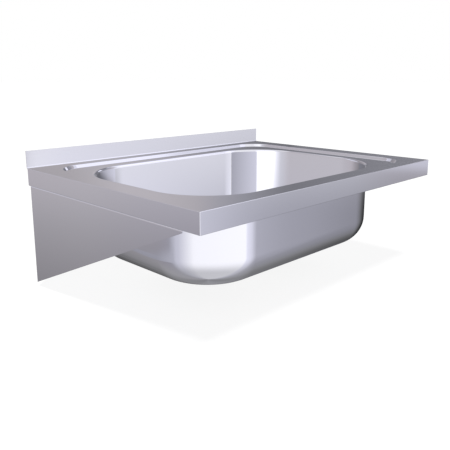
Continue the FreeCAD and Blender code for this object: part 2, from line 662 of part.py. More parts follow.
def make_waste_cup():
    """Mould the underbody: a cup with a rim, a funnel, a threaded outlet and a boss on three ribs."""
    top, shelf = f"- ({DISH_DROP} + bowl_sheet + clamp_sheet)", f"- {PAN_DEPTH}"
    throat, mouth = f"{shelf} - cup_fall", f"{shelf} - cup_fall - spigot_length"
    inside, outside, brim = f"{CUP_BORE} / 2", f"{CUP_BORE} / 2 + cup_wall", f"{CUP_WIDTH} / 2"
    spigot, bore = "spigot_width / 2", f"{SPIGOT_BORE} / 2"
    body = turned("waste_cup", [
        (inside, top), (brim, top), (brim, f"{top} - cup_rim"), (outside, f"{top} - cup_rim"),
        (outside, shelf), (spigot, throat), (spigot, mouth), (bore, mouth), (bore, throat), (inside, shelf)])
    rib = new_sketch(body, "rib", "XZ_Plane")
    draw_outline(rib, [("0", shelf), (f"{inside} + cup_wall / 2", shelf),
                       (f"{bore} + spigot_wall / 2", throat), ("0", throat)])
    repeat_round(body, pad(body, rib, "rib_sheet", both_ways=True), CUP_RIBS)
    boss = new_sketch(body, "boss", "XY_Plane", shelf)
    draw_circle(boss, f"{INSERT_WIDTH} + 2 * boss_wall")
    pad(body, boss, "cup_fall", back=True)
    seat = new_sketch(body, "insert_seat", "XY_Plane", shelf)
    draw_circle(seat, INSERT_WIDTH)
    pocket(body, seat, "insert_length")
    end = new_sketch(body, "bolt_end", "XY_Plane", shelf)
    draw_circle(end, "centre_bolt_size + 2 * stem_fit")
    pocket(body, end, "cup_fall + overrun")
    return body


def make_centre_bolt():
    """Turn the centre bolt, with a socket in its head for the basket's stem."""
    end, seat = f"- {PAN_DEPTH} - centre_bolt_length", f"pan_sheet - {PAN_DEPTH}"
    top, pit = f"{seat} + centre_head_height", f"{seat} + centre_head_height - socket_depth"
    bolt, socket = "centre_bolt_size / 2", "stem_width / 2 + stem_play"
    head = f"{bolt} + centre_head_brim"
    return turned("centre_bolt", [
        ("0", end), (bolt, end), (bolt, seat), (head, seat), (head, top), (socket, top), (socket, pit),
        ("0", pit)])


def make_basket():
    """Draw the basket, with a rim turned out, holes in its floor and slots in its wall."""
    low, high = SEAT_TO_FLOOR, f"{SEAT_TO_FLOOR} + basket_height"
    floor, mouth, bore = f"{BASKET_FLOOR} / 2", f"{BASKET_WIDTH} / 2", "(stem_width / 2 + stem_fit)"
    body = turned("basket", [
        (bore, low), (floor, low), (f"{mouth} + basket_sheet", f"{high} - basket_sheet"),
        (f"{mouth} + basket_lip", f"{high} - basket_sheet"), (f"{mouth} + basket_lip", high), (mouth, high),
        (f"{floor} - basket_sheet", f"{low} + basket_sheet"), (bore, f"{low} + basket_sheet")])
    hole = new_sketch(body, "floor_hole", "XY_Plane", f"{low} + basket_sheet")
    draw_circle(hole, "basket_hole", f"{floor} - basket_hole_inset")
    repeat_round(body, pocket(body, hole, "basket_sheet + overrun"), BASKET_HOLES)
    slot = new_sketch(body, "wall_slot", "YZ_Plane")
    half, foot = "basket_slot / 2", f"{low} + basket_slot_rise"
    draw_outline(slot, [(f"- {half}", foot), (half, foot), (half, f"{foot} + basket_slot_height"),
                        (f"- {half}", f"{foot} + basket_slot_height")])
    repeat_round(body, pocket(body, slot, BASKET_WIDTH, back=True), BASKET_SLOTS)
    return body


def make_basket_seal():
    """Mould the rubber stopper that sits on the pan's seat."""
    body = ring("basket_seal", "stem_width + 2 * stem_fit", SEAL_WIDTH, "- pan_seat", SEAT_TO_FLOOR)
    at_edge = lambda box: near(box.XMax, f"{SEAL_WIDTH} / 2") and near(box.ZMax, SEAT_TO_FLOOR)
    round_edges(body, "edge", "seal_soft", lambda box: at_edge(box) and near(box.ZMin, SEAT_TO_FLOOR))
    return body


def make_basket_stem():
    """Turn the stem that carries the basket, from the centre bolt's socket up into the knob."""
    foot = f"pan_sheet - {PAN_DEPTH} + centre_head_height - stem_dip"
    floor = f"{SEAT_TO_FLOOR} + basket_sheet"
    stem, collar = "stem_width / 2", "stem_width / 2 + collar_brim"
    top = f"{floor} + collar_height + knob_height / 2"
    return turned("basket_stem", [
        ("0", foot), (stem, foot), (stem, floor), (collar, floor), (collar, f"{floor} + collar_height"),
        (stem, f"{floor} + collar_height"), (stem, top), ("0", top)])


def make_basket_knob():
    """Mould the pull knob on the stem's upper end."""
    foot = f"{SEAT_TO_FLOOR} + basket_sheet + collar_height"
    top, cap = f"{foot} + knob_height", f"{foot} + knob_height - knob_cap"
    bore, hollow = "stem_width / 2 + stem_fit", f"{foot} + knob_height / 2"
    neck, edge = f"{KNOB_NECK} / 2", f"{KNOB_NECK} / 2 + knob_brim"
    body = turned("basket_knob", [
        (bore, foot), (neck, foot), (neck, cap), (edge, cap), (edge, top), ("0", top), ("0", hollow),
        (bore, hollow)])
    on_top = level_at(top)
    round_edges(body, "crown", "knob_soft", on_top)
    return body


# Build every piece
left_bracket = make_left_bracket()
pieces = [
    make_worktop(),
    make_bowl(),
    left_bracket,
    make_right_bracket(left_bracket),
    make_bracket_bolts(),
    make_bracket_washers(),
    make_bracket_nuts(),
    make_sound_pad(),
    make_strainer_pan(),
    ring("flange_gasket", DRAIN_WIDTH, f"{PAN_FLANGE} - 2 * gasket_inset", f"- {DISH_DROP}", "- pan_sheet"),
    ring("clamp_gasket", DRAIN_WIDTH, CUP_WIDTH, f"- ({DISH_DROP} + bowl_sheet + clamp_sheet)",
         f"- ({DISH_DROP} + bowl_sheet)"),
    make_waste_cup(),
    ring("cup_insert", "centre_bolt_size + 2 * stem_fit", INSERT_WIDTH, f"- {PAN_DEPTH} - insert_length",
         f"- {PAN_DEPTH}"),
    make_centre_bolt(),
    make_basket(),
    make_basket_seal(),
    make_basket_stem(),
    ring("basket_clip", "stem_width", "stem_width + 2 * clip_brim", "- pan_seat - clip_sheet", "- pan_seat"),
    make_basket_knob(),
]
doc.recompute()

# Check every object before anything is written
for thing in doc.Objects:
    if "Invalid" in thing.State or "Error" in thing.State:
        raise RuntimeError(f"{thing.Label} failed: {thing.State}")
for piece in pieces:
    if piece.Shape.isNull() or not piece.Shape.isValid():
        raise RuntimeError(f"{piece.Label} has no valid shape")

# Write one file for each piece
os.makedirs("parts", exist_ok=True)
for piece in pieces:
    piece.Shape.exportStep(f"parts/{piece.Label}.step")
    box = piece.Shape.BoundBox
    print(f"{piece.Label}: {len(piece.Shape.Solids)} solids, {piece.Shape.Volume:.0f} mm3, "
          f"X {box.XMin:.1f} to {box.XMax:.1f}, Y {box.YMin:.1f} to {box.YMax:.1f}, "
          f"Z {box.ZMin:.1f} to {box.ZMax:.1f}")
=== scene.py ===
# %% [markdown]
# # A wall-mounted steel sink
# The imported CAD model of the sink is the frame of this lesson: a folded worktop with a drip
# recess and an upstand, a deep pressed bowl, two side brackets and a basket strainer waste.
# We load it first and keep its box, because nothing we add may make the sink bigger.

# %% Load the frame
import json
import math

import bmesh
import bpy
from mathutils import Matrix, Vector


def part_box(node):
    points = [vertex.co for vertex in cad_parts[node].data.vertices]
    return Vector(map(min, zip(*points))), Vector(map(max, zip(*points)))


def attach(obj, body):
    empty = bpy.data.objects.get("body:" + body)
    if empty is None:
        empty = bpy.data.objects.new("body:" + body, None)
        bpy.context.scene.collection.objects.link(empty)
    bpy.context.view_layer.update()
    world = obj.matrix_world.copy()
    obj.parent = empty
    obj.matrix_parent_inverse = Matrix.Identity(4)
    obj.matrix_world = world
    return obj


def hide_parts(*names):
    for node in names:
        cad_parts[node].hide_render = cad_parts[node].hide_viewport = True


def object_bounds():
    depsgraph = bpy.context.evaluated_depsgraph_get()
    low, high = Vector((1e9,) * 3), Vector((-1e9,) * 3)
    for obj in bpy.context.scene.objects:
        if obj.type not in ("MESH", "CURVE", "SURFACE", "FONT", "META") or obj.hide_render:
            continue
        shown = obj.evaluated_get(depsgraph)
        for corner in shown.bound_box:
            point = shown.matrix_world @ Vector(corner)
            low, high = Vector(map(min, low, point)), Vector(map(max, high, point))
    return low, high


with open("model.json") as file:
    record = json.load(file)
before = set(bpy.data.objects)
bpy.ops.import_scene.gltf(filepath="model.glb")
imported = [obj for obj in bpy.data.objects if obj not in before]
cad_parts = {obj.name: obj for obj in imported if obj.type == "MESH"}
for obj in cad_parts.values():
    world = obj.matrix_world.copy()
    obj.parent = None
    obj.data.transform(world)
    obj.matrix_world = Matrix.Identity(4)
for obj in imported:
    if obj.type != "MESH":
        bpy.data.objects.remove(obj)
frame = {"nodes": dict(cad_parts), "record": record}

CAD_BOX = [list(corner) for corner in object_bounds()]
MM = 0.001
print("nodes:", ", ".join(sorted(frame["nodes"])))
print("CAD box in metres:", CAD_BOX)

# %% [markdown]
# ## Small helpers
# A colour is easiest to pick as a hex value on the screen, but shaders work with linear light,
# so one function does that change. A second one adds any node, sets its properties and fills its
# sockets: with a value, with an output to link to, or with a node, which gives its first output.

# %% Helpers for colours and nodes
WHITE = "#FFFFFF"


def linear(code):
    """Turn a hex colour of the screen into linear light."""
    channels = [int(code[i:i + 2], 16) / 255 for i in (1, 3, 5)]
    return (*[c / 12.92 if c <= 0.04045 else ((c + 0.055) / 1.055) ** 2.4 for c in channels], 1.0)


def add_node(tree, kind, sockets=None, **settings):
    """Add a node, set its properties and fill its sockets with values, outputs or nodes."""
    node = tree.nodes.new(kind)
    for name, value in settings.items():
        setattr(node, name, value)
    for name, sources in (sockets or {}).items():
        for source in sources if isinstance(sources, list) else [sources]:
            if isinstance(source, bpy.types.Node):
                source = source.outputs[0]
            if isinstance(source, bpy.types.NodeSocket):
                tree.links.new(source, node.inputs[name])
            else:
                node.inputs[name].default_value = source
    return node


def new_material(name):
    """Start a material with an empty node tree."""
    material = bpy.data.materials.new(name)
    material.use_nodes = True
    material.node_tree.nodes.clear()
    return material, material.node_tree


print("white in linear light:", linear(WHITE))

# %% [markdown]
# ## Satin brushed stainless steel
# The worktop and the brackets are folded from sheet that was brushed with a fine abrasive belt
# at the mill. The belt leaves countless short parallel scratches, about 0.1 mm wide. Nobody sees
# a single one from two metres, but together they blur every reflection, so the faces show soft
# gradients. A stretched noise makes such scratches. The belt ran along the sink's width; the
# side plates were cut from sheet that runs front to back, so the faces that look sideways get
# their scratches along Y, picked by the direction of the face.

# %% Satin steel
STEEL_GREY = "#D3D3DB"
SCRATCH_LENGTH = 60 * MM
SCRATCH_WIDTH = 0.6 * MM       # drawn coarser than the real 0.1 mm, so that it shows at all
SCRATCH_DEPTH = 0.01 * MM
SATIN_SMOOTH, SATIN_ROUGH = 0.07, 0.10
NOISE_LOW, NOISE_HIGH = 0.3, 0.7             # nearly all values of a noise lie between these
SIDE_FACING = 0.7              # X of a face's direction, from which the face counts as a side
VECTOR_A, VECTOR_B, VECTOR_OUT = 4, 5, 1     # a Mix node's vector sockets, which share their names

satin_steel, tree = new_material("satin_brushed_stainless_steel")
place = add_node(tree, "ShaderNodeTexCoord").outputs
facing = add_node(tree, "ShaderNodeSeparateXYZ", {0: place["Normal"]})
sideways = add_node(tree, "ShaderNodeMath", {0: facing.outputs["X"]}, operation="ABSOLUTE")
on_side = add_node(tree, "ShaderNodeMath", {0: sideways, 1: SIDE_FACING}, operation="GREATER_THAN")
across = add_node(tree, "ShaderNodeMapping", {
    "Vector": place["Object"], "Scale": (1 / SCRATCH_LENGTH, 1 / SCRATCH_WIDTH, 1 / SCRATCH_WIDTH)})
along = add_node(tree, "ShaderNodeMapping", {
    "Vector": place["Object"], "Scale": (1 / SCRATCH_WIDTH, 1 / SCRATCH_LENGTH, 1 / SCRATCH_WIDTH)})
direction = add_node(tree, "ShaderNodeMix", {
    "Factor": on_side, VECTOR_A: across, VECTOR_B: along}, data_type="VECTOR")
scratches = add_node(tree, "ShaderNodeTexNoise", {
    "Vector": direction.outputs[VECTOR_OUT], "Scale": 1.0, "Detail": 2.0, "Roughness": 0.6})
roughness = add_node(tree, "ShaderNodeMapRange", {
    "Value": scratches, "From Min": NOISE_LOW, "From Max": NOISE_HIGH,
    "To Min": SATIN_SMOOTH, "To Max": SATIN_ROUGH})
bump = add_node(tree, "ShaderNodeBump", {"Height": scratches, "Strength": 0.02, "Distance": SCRATCH_DEPTH})
shader = add_node(tree, "ShaderNodeBsdfPrincipled", {
    "Base Color": linear(STEEL_GREY), "Metallic": 1.0, "Roughness": roughness, "Normal": bump})
add_node(tree, "ShaderNodeOutputMaterial", {"Surface": shader})
print("made", satin_steel.name)

# %% [markdown]
# ## Metals with a pattern
# The other metals share one plan. A noise, whose grain is as long and as wide as the tool or the
# bath has left it, moves the roughness between two values, and where the metal is cloudy it also
# mixes two tones. So one function makes them all, from a grain in X, Y and Z.

# %% Helper for patterned metals
COLOUR_A, COLOUR_B, COLOUR_OUT = 6, 7, 2     # a Mix node's colour sockets


def patterned_metal(name, tones, grain, detail, roughness, start=NOISE_LOW):
    """Make a metal whose shine, and tone where it has two, follow a noise from a start value on."""
    material, tree = new_material(name)
    place = add_node(tree, "ShaderNodeTexCoord").outputs
    sized = add_node(tree, "ShaderNodeMapping", {
        "Vector": place["Object"], "Scale": tuple(1 / side for side in grain)})
    pattern = add_node(tree, "ShaderNodeTexNoise", {"Vector": sized, "Scale": 1.0, "Detail": detail})
    shine = add_node(tree, "ShaderNodeMapRange", {
        "Value": pattern, "From Min": start, "From Max": NOISE_HIGH,
        "To Min": roughness[0], "To Max": roughness[1]})
    colour = linear(tones[0])
    if len(tones) > 1:
        mix = add_node(tree, "ShaderNodeMix", {
            "Factor": pattern, COLOUR_A: colour, COLOUR_B: linear(tones[1])}, data_type="RGBA")
        colour = mix.outputs[COLOUR_OUT]
    shader = add_node(tree, "ShaderNodeBsdfPrincipled", {
        "Base Color": colour, "Metallic": 1.0, "Roughness": shine})
    add_node(tree, "ShaderNodeOutputMaterial", {"Surface": shader})
    print("made", name)
    return material


print("a metal's noise runs from", NOISE_LOW, "to", NOISE_HIGH)

# %% [markdown]
# ## Polished deep-drawn stainless steel
# The bowl was drawn from a flat blank in a press and then polished with mops. Its reflections
# are almost as sharp as in a mirror, but the draw has left faint upright streaks on the walls,
# where the sheet slid over the die: a grain that is long in Z.

# %% Polished steel
STREAK_WIDTH = 4 * MM
STREAK_LENGTH = 400 * MM

polished_steel = patterned_metal(
    "polished_deep_drawn_stainless_steel", ["#D7D7DF"],
    grain=(STREAK_WIDTH, STREAK_WIDTH, STREAK_LENGTH), detail=2.0, roughness=(0.06, 0.07))

# %% [markdown]
# ## Zinc-plated steel
# Bolts, washers, nuts and the small turned pieces of the waste are plain steel with a thin bright
# coat of zinc from a plating bath. The coat grows in tiny crystals, so it looks a little cloudy:
# its reflection is soft, and changes from spot to spot, together with a faint change of the grey.

# %% Zinc-plated steel
ZINC_CLOUD = 1.5 * MM

zinc_steel = patterned_metal(
    "zinc_plated_steel", ["#B7BCC4", "#D6D8DA"],
    grain=(ZINC_CLOUD, ZINC_CLOUD, ZINC_CLOUD), detail=3.0, roughness=(0.24, 0.36))

# %% [markdown]
# ## Chrome plate
# The basket's knob is turned brass under a mirror of chrome. Chrome is the brightest and smoothest
# finish of the sink; only the touch of fingers dulls it, in soft patches about a centimetre wide.

# %% Chrome plate
TOUCH_PATCH = 12 * MM
TOUCH_START = 0.35             # noise below this leaves the mirror clean

chrome_plate = patterned_metal(
    "chrome_plated_brass", ["#DDDEE1"], grain=(TOUCH_PATCH, TOUCH_PATCH, TOUCH_PATCH),
    detail=4.0, roughness=(0.03, 0.10), start=TOUCH_START)

# %% [markdown]
# ## Turned brass
# A threaded bush of brass takes the centre bolt, because plastic would strip. A lathe tool leaves
# fine rings at the pitch of its feed, here 0.25 mm, so the pattern depends on the height alone:
# its grain is short in Z and stretched out sideways.

# %% Turned brass
FEED_RING = 0.25 * MM
RING_SPREAD = 80 * MM

turned_brass = patterned_metal(
    "turned_brass", ["#C9A552", "#E2C477"],
    grain=(RING_SPREAD, RING_SPREAD, FEED_RING), detail=1.0, roughness=(0.18, 0.34))

# %% [markdown]
# ## White moulded polypropylene
# The underbody of the waste is injection moulded. Its mould was spark eroded, which gives the
# plastic an even, very fine orange-peel grain and a silky sheen. The plastic is a warm, slightly
# milky white; where it flowed last in the mould it is a touch greyer.

# %% White polypropylene
SPARK_GRAIN = 0.8 * MM         # drawn coarser than the real 0.1 mm, so that it shows at all
SPARK_DEPTH = 0.05 * MM
FLOW_MARK = 35 * MM

white_plastic, tree = new_material("moulded_white_polypropylene")
place = add_node(tree, "ShaderNodeTexCoord").outputs
grain = add_node(tree, "ShaderNodeTexNoise", {
    "Vector": place["Object"], "Scale": 1 / SPARK_GRAIN, "Detail": 2.0})
flow = add_node(tree, "ShaderNodeTexNoise", {
    "Vector": place["Object"], "Scale": 1 / FLOW_MARK, "Detail": 1.0})
tone = add_node(tree, "ShaderNodeMix", {
    "Factor": flow, COLOUR_A: linear("#DAD9D3"), COLOUR_B: linear("#EFEEE9")}, data_type="RGBA")
bump = add_node(tree, "ShaderNodeBump", {"Height": grain, "Strength": 0.25, "Distance": SPARK_DEPTH})
shader = add_node(tree, "ShaderNodeBsdfPrincipled", {
    "Base Color": tone.outputs[COLOUR_OUT], "Roughness": 0.42, "IOR": 1.49, "Normal": bump})
add_node(tree, "ShaderNodeOutputMaterial", {"Surface": shader})
print("made", white_plastic.name)

# %% [markdown]
# ## Black EPDM rubber
# The gaskets and the stopper under the basket are pressed from black rubber. Fresh rubber is
# nearly matt; a bloom of wax works its way out with time and greys it in cloudy patches.

# %% Black rubber
WAX_BLOOM = 6 * MM
RUBBER_SMOOTH, RUBBER_ROUGH = 0.55, 0.75

black_rubber, tree = new_material("pressed_black_epdm_rubber")
place = add_node(tree, "ShaderNodeTexCoord").outputs
bloom = add_node(tree, "ShaderNodeTexNoise", {
    "Vector": place["Object"], "Scale": 1 / WAX_BLOOM, "Detail": 5.0, "Roughness": 0.6})
tone = add_node(tree, "ShaderNodeMix", {
    "Factor": bloom, COLOUR_A: linear("#1A1A1B"), COLOUR_B: linear("#303031")}, data_type="RGBA")
roughness = add_node(tree, "ShaderNodeMapRange", {
    "Value": bloom, "From Min": NOISE_LOW, "From Max": NOISE_HIGH,
    "To Min": RUBBER_SMOOTH, "To Max": RUBBER_ROUGH})
shader = add_node(tree, "ShaderNodeBsdfPrincipled", {
    "Base Color": tone.outputs[COLOUR_OUT], "Roughness": roughness, "IOR": 1.52})
add_node(tree, "ShaderNodeOutputMaterial", {"Surface": shader})
print("made", black_rubber.name)

# %% [markdown]
# ## Bitumen damping sheet
# A sheet of filled bitumen is glued under the bowl, so that running water doesn't drum. It is dead
# matt, charcoal grey and sandy to the touch, from the chalk and slate in it: a fine noise lifts
# its surface, and a sparser pattern of cells lightens single grains.

# %% Bitumen sheet
SAND_GRAIN = 1.2 * MM
SAND_DEPTH = 0.3 * MM
PALE_GRAIN = 2.5 * MM
GRAIN_EDGE, GRAIN_CORE = 0.28, 0.12          # where a pale grain starts and is full, as shares of its cell

bitumen_sheet, tree = new_material("filled_bitumen_sheet")
place = add_node(tree, "ShaderNodeTexCoord").outputs
sand = add_node(tree, "ShaderNodeTexNoise", {
    "Vector": place["Object"], "Scale": 1 / SAND_GRAIN, "Detail": 4.0, "Roughness": 0.7})
grains = add_node(tree, "ShaderNodeTexVoronoi", {"Vector": place["Object"], "Scale": 1 / PALE_GRAIN})
pale = add_node(tree, "ShaderNodeMapRange", {
    "Value": grains.outputs["Distance"], "From Min": GRAIN_EDGE, "From Max": GRAIN_CORE})
tone = add_node(tree, "ShaderNodeMix", {
    "Factor": pale, COLOUR_A: linear("#39393C"), COLOUR_B: linear("#545457")}, data_type="RGBA")
bump = add_node(tree, "ShaderNodeBump", {"Height": sand, "Strength": 0.6, "Distance": SAND_DEPTH})
shader = add_node(tree, "ShaderNodeBsdfPrincipled", {
    "Base Color": tone.outputs[COLOUR_OUT], "Roughness": 0.9, "Normal": bump})
add_node(tree, "ShaderNodeOutputMaterial", {"Surface": shader})
print("made", bitumen_sheet.name)

# %% [markdown]
# ## Dress the CAD pieces
# The record names a finish for every piece, so a small table of finishes dresses them all. The
# pieces don't mirror each other: in a studio picture like ours each surface mirrors only the tent
# that we build further down, which keeps the steel bright and calm.

# %% Dress the pieces
FINISHES = {
    "satin_steel": satin_steel, "polished_steel": polished_steel, "fastener_steel": zinc_steel,
    "knob_chrome": chrome_plate, "brass_insert": turned_brass, "white_plastic": white_plastic,
    "black_rubber": black_rubber, "damping_pad": bitumen_sheet}

for subpart in frame["record"]["subparts"]:
    node = frame["nodes"][subpart["node"]]
    node.data.materials[0] = FINISHES[subpart["material_slot"]]
    node.visible_glossy = False

# %% [markdown]
# ## Recipes in geometry nodes
# Some pieces repeat, or follow a path, and geometry nodes are made for that. Each of them gets a
# small node tree, a recipe, whose inputs are its real sizes. One helper starts a recipe with named
# inputs. Another one ends it with Realize Instances and Set Material, runs it once with our sizes
# and keeps the result as a plain mesh that rides on the sink.

# %% Helpers for recipes
def add_object(name, data):
    """Put an object with a mesh, a lamp or a camera into the scene."""
    thing = bpy.data.objects.new(name, data)
    bpy.context.collection.objects.link(thing)
    return thing


def new_recipe(name, sizes):
    """Start a geometry node tree with a named input for each size, and return the inputs too."""
    tree = bpy.data.node_groups.new(name, "GeometryNodeTree")
    tree.interface.new_socket("Geometry", in_out="OUTPUT", socket_type="NodeSocketGeometry")
    for size, value in sizes.items():
        kind = "NodeSocketInt" if isinstance(value, int) else "NodeSocketFloat"
        tree.interface.new_socket(size, in_out="INPUT", socket_type=kind)
    return tree, add_node(tree, "NodeGroupInput").outputs


def make_piece(tree, geometry, sizes, finish, *replaced):
    """End a recipe, run it with its sizes and put the mesh in the place of CAD nodes."""
    real = add_node(tree, "GeometryNodeRealizeInstances", {"Geometry": geometry})
    painted = add_node(tree, "GeometryNodeSetMaterial", {"Geometry": real, "Material": FINISHES[finish]})
    add_node(tree, "NodeGroupOutput", {"Geometry": painted})
    piece = add_object(tree.name, bpy.data.meshes.new(tree.name))
    modifier = piece.modifiers.new("recipe", "NODES")
    modifier.node_group = tree
    for socket in tree.interface.items_tree:
        if socket.in_out == "INPUT":
            modifier[socket.identifier] = sizes[socket.name]
    made = piece.evaluated_get(bpy.context.evaluated_depsgraph_get())
    mesh = bpy.data.meshes.new_from_object(made)
    piece.modifiers.remove(modifier)
    piece.data = mesh
    piece.visible_glossy = False
    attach(piece, "sink")
    if replaced:
        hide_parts(*replaced)
    print(piece.name, "has", len(mesh.polygons), "faces, for", ", ".join(replaced) or "no CAD piece")


print("a recipe can take these finishes:", ", ".join(FINISHES))

# %% [markdown]
# Three steps come back in most recipes. Pressed and stamped sheet has rounded corners, so outlines
# are rectangles with filleted corners. A section is swept along a path and stays upright on it. And
# a piece is made round the origin first, and put at its depth and height when it is ready.

# %% Outlines, sweeps and places
ARC_POINTS = 16                 # points to an arc of a section or a small corner
PLAN_POINTS = 32                # points to a wide corner of the plan
WELD_DISTANCE = 0.01 * MM       # points nearer than this become one


def rounded_rectangle(tree, width, length, corner, points):
    """Add the outline of a rectangle, with so many points on each rounded corner."""
    sharp = add_node(tree, "GeometryNodeCurvePrimitiveQuadrilateral", {"Width": width, "Height": length})
    return add_node(tree, "GeometryNodeFilletCurve", {
        "Curve": sharp, "Count": points, "Radius": corner}, mode="POLY")


def swept(tree, path, section, closed=False):
    """Sweep a section along a path, upright all the way, and close its ends where asked."""
    level = add_node(tree, "GeometryNodeSetCurveNormal", {"Curve": path}, mode="Z_UP")
    return add_node(tree, "GeometryNodeCurveToMesh", {
        "Curve": level, "Profile Curve": section, "Fill Caps": closed})


def put_at(tree, geometry, depth, height):
    """Put a geometry that lies round the origin at a depth (Y) and a height (Z) of the sink."""
    spot = add_node(tree, "ShaderNodeCombineXYZ", {"Y": depth, "Z": height})
    return add_node(tree, "GeometryNodeTransform", {"Geometry": geometry, "Translation": spot})


print("corners have", ARC_POINTS, "or", PLAN_POINTS, "points")

# %% [markdown]
# ## The pressed bowl
# The bowl is the sink's main piece. A press draws it from a flat blank over a punch, with a small
# radius at the rim and a wide one at the foot, so its shape follows a rule: one section is carried
# round a rounded rectangle, and a second, small one round the drain, where a dish takes the waste.
# Curve to Mesh does both. A section has four points, each given by how far it lies outside the
# path and how far below it, and the two in the middle are rounded.

# %% A section that is carried round a path
LAST_RIM_POINT = 1              # points 0 and 1 of a section lie at its rim, 2 and 3 at its foot


def carried_section(tree, path, points, rim_radius, foot_radius):
    """Carry an open section of four points, rounded at the middle ones, round a level path."""
    corners = {}
    for number, (outside, below) in enumerate(points, 1):
        corners[f"Point {number}"] = add_node(tree, "ShaderNodeCombineXYZ", {"X": outside, "Y": below})
    section = add_node(tree, "GeometryNodeCurvePrimitiveQuadrilateral", corners, mode="POINTS")
    section = add_node(tree, "GeometryNodeSetSplineCyclic", {"Geometry": section, "Cyclic": False})
    number = add_node(tree, "GeometryNodeInputIndex")
    at_foot = add_node(tree, "FunctionNodeCompare", {
        0: number, 1: LAST_RIM_POINT}, operation="GREATER_THAN")
    radius = add_node(tree, "GeometryNodeSwitch", {
        "Switch": at_foot, "False": rim_radius, "True": foot_radius}, input_type="FLOAT")
    section = add_node(tree, "GeometryNodeFilletCurve", {
        "Curve": section, "Count": ARC_POINTS, "Radius": radius}, mode="POLY")
    return swept(tree, path, section)


print("a section turns from rim to foot after point", LAST_RIM_POINT)

# %% [markdown]
# The bowl's width, length and depth are read from the CAD bowl, so both agree. The radii are those
# of the punch and the die. The plan is the line of the wall's inside, and the welded edge lies a
# small land outside it.

# %% Wall and dish of the bowl
WELD_LAND = 6.5 * MM            # from the wall's inside to the welded edge
RIM_RADIUS = 5 * MM
FOOT_RADIUS = 50 * MM
BOWL_CORNER = 105 * MM          # plan radius of the wall's inside
BOWL_SHEET = 1 * MM
DISH_RADIUS = 60.5 * MM
DISH_DEPTH = 2.4 * MM
DISH_EDGE = 1.1 * MM
DRAIN_RADIUS = 45 * MM
FLAT_EDGE = 4 * MM              # flat floor that belongs to a section, beyond its arc
DISH_SIDES = 96

bowl_low, bowl_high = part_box("bowl")
bowl_width, bowl_length, bowl_height = bowl_high - bowl_low
bowl_middle = (bowl_low.y + bowl_high.y) / 2
floor_below = bowl_height - BOWL_SHEET - DISH_DEPTH
sizes = {"Width": bowl_width - 2 * WELD_LAND, "Length": bowl_length - 2 * WELD_LAND,
         "Corner": BOWL_CORNER, "Land": WELD_LAND, "Rim": RIM_RADIUS, "Foot": FOOT_RADIUS,
         "Floor End": -FOOT_RADIUS - FLAT_EDGE, "Floor Below": floor_below, "Floor Level": -floor_below,
         "Dish Radius": DISH_RADIUS, "Dish Edge": DISH_EDGE, "Dish Land": FLAT_EDGE,
         "Dish Below": floor_below + DISH_DEPTH, "Dish Width": DRAIN_RADIUS - DISH_RADIUS,
         "Sheet": BOWL_SHEET, "Middle": bowl_middle, "Level": bowl_high.z}
tree, size = new_recipe("pressed_bowl", sizes)
plan = rounded_rectangle(tree, size["Width"], size["Length"], size["Corner"], PLAN_POINTS)
wall = carried_section(tree, plan, (
    (size["Land"], 0.0), (0.0, 0.0),
    (0.0, size["Floor Below"]), (size["Floor End"], size["Floor Below"])), size["Rim"], size["Foot"])
drain = add_node(tree, "GeometryNodeCurvePrimitiveCircle", {
    "Resolution": DISH_SIDES, "Radius": size["Dish Radius"]})
dish = carried_section(tree, drain, (
    (size["Dish Land"], size["Floor Below"]), (0.0, size["Floor Below"]),
    (0.0, size["Dish Below"]), (size["Dish Width"], size["Dish Below"])),
    size["Dish Edge"], size["Dish Edge"])
sides = add_node(tree, "GeometryNodeJoinGeometry", {"Geometry": [wall, dish]})
print("the bowl's floor lies", round(floor_below / MM, 1), "mm below its rim")

# %% [markdown]
# The flat floor between wall and dish has an edge on both, so Mesh to Curve picks the open edges at
# the floor's height and Fill Curve closes them. It fills at height zero and looks up, so the floor
# is lowered and turned. The faces of this skin then all look outwards.

# %% Floor of the bowl
FACES_OF_CLOSED_EDGE = 2

spot = add_node(tree, "GeometryNodeInputPosition")
spot = add_node(tree, "ShaderNodeSeparateXYZ", {0: spot})
above = add_node(tree, "ShaderNodeMath", {0: spot.outputs["Z"], 1: size["Floor Below"]}, operation="ADD")
at_floor = add_node(tree, "FunctionNodeCompare", {
    0: above, 1: 0.0, "Epsilon": WELD_DISTANCE}, operation="EQUAL")
faces = add_node(tree, "GeometryNodeInputMeshEdgeNeighbors")
is_open = add_node(tree, "FunctionNodeCompare", {0: faces, 1: FACES_OF_CLOSED_EDGE}, operation="LESS_THAN")
chosen = add_node(tree, "FunctionNodeBooleanMath", {0: at_floor, 1: is_open}, operation="AND")
edges = add_node(tree, "GeometryNodeMeshToCurve", {"Mesh": sides, "Selection": chosen})
floor = add_node(tree, "GeometryNodeFillCurve", {"Curve": edges})
floor = put_at(tree, floor, 0.0, size["Floor Level"])
floor = add_node(tree, "GeometryNodeFlipFaces", {"Mesh": floor})
skin = add_node(tree, "GeometryNodeJoinGeometry", {"Geometry": [sides, floor]})
skin = add_node(tree, "GeometryNodeMergeByDistance", {"Geometry": skin, "Distance": WELD_DISTANCE})
print("the bowl's recipe has", len(tree.nodes), "nodes so far")

# %% [markdown]
# A copy of the skin that is pushed along its faces by the thickness of the sheet is the bowl's
# outside, and the skin itself, turned round, is its inside. Edges that turn by more than 30 degrees
# stay sharp: the welded edge and the drain hole.

# %% Thickness of the bowl
SHARP_TURN = math.radians(30)

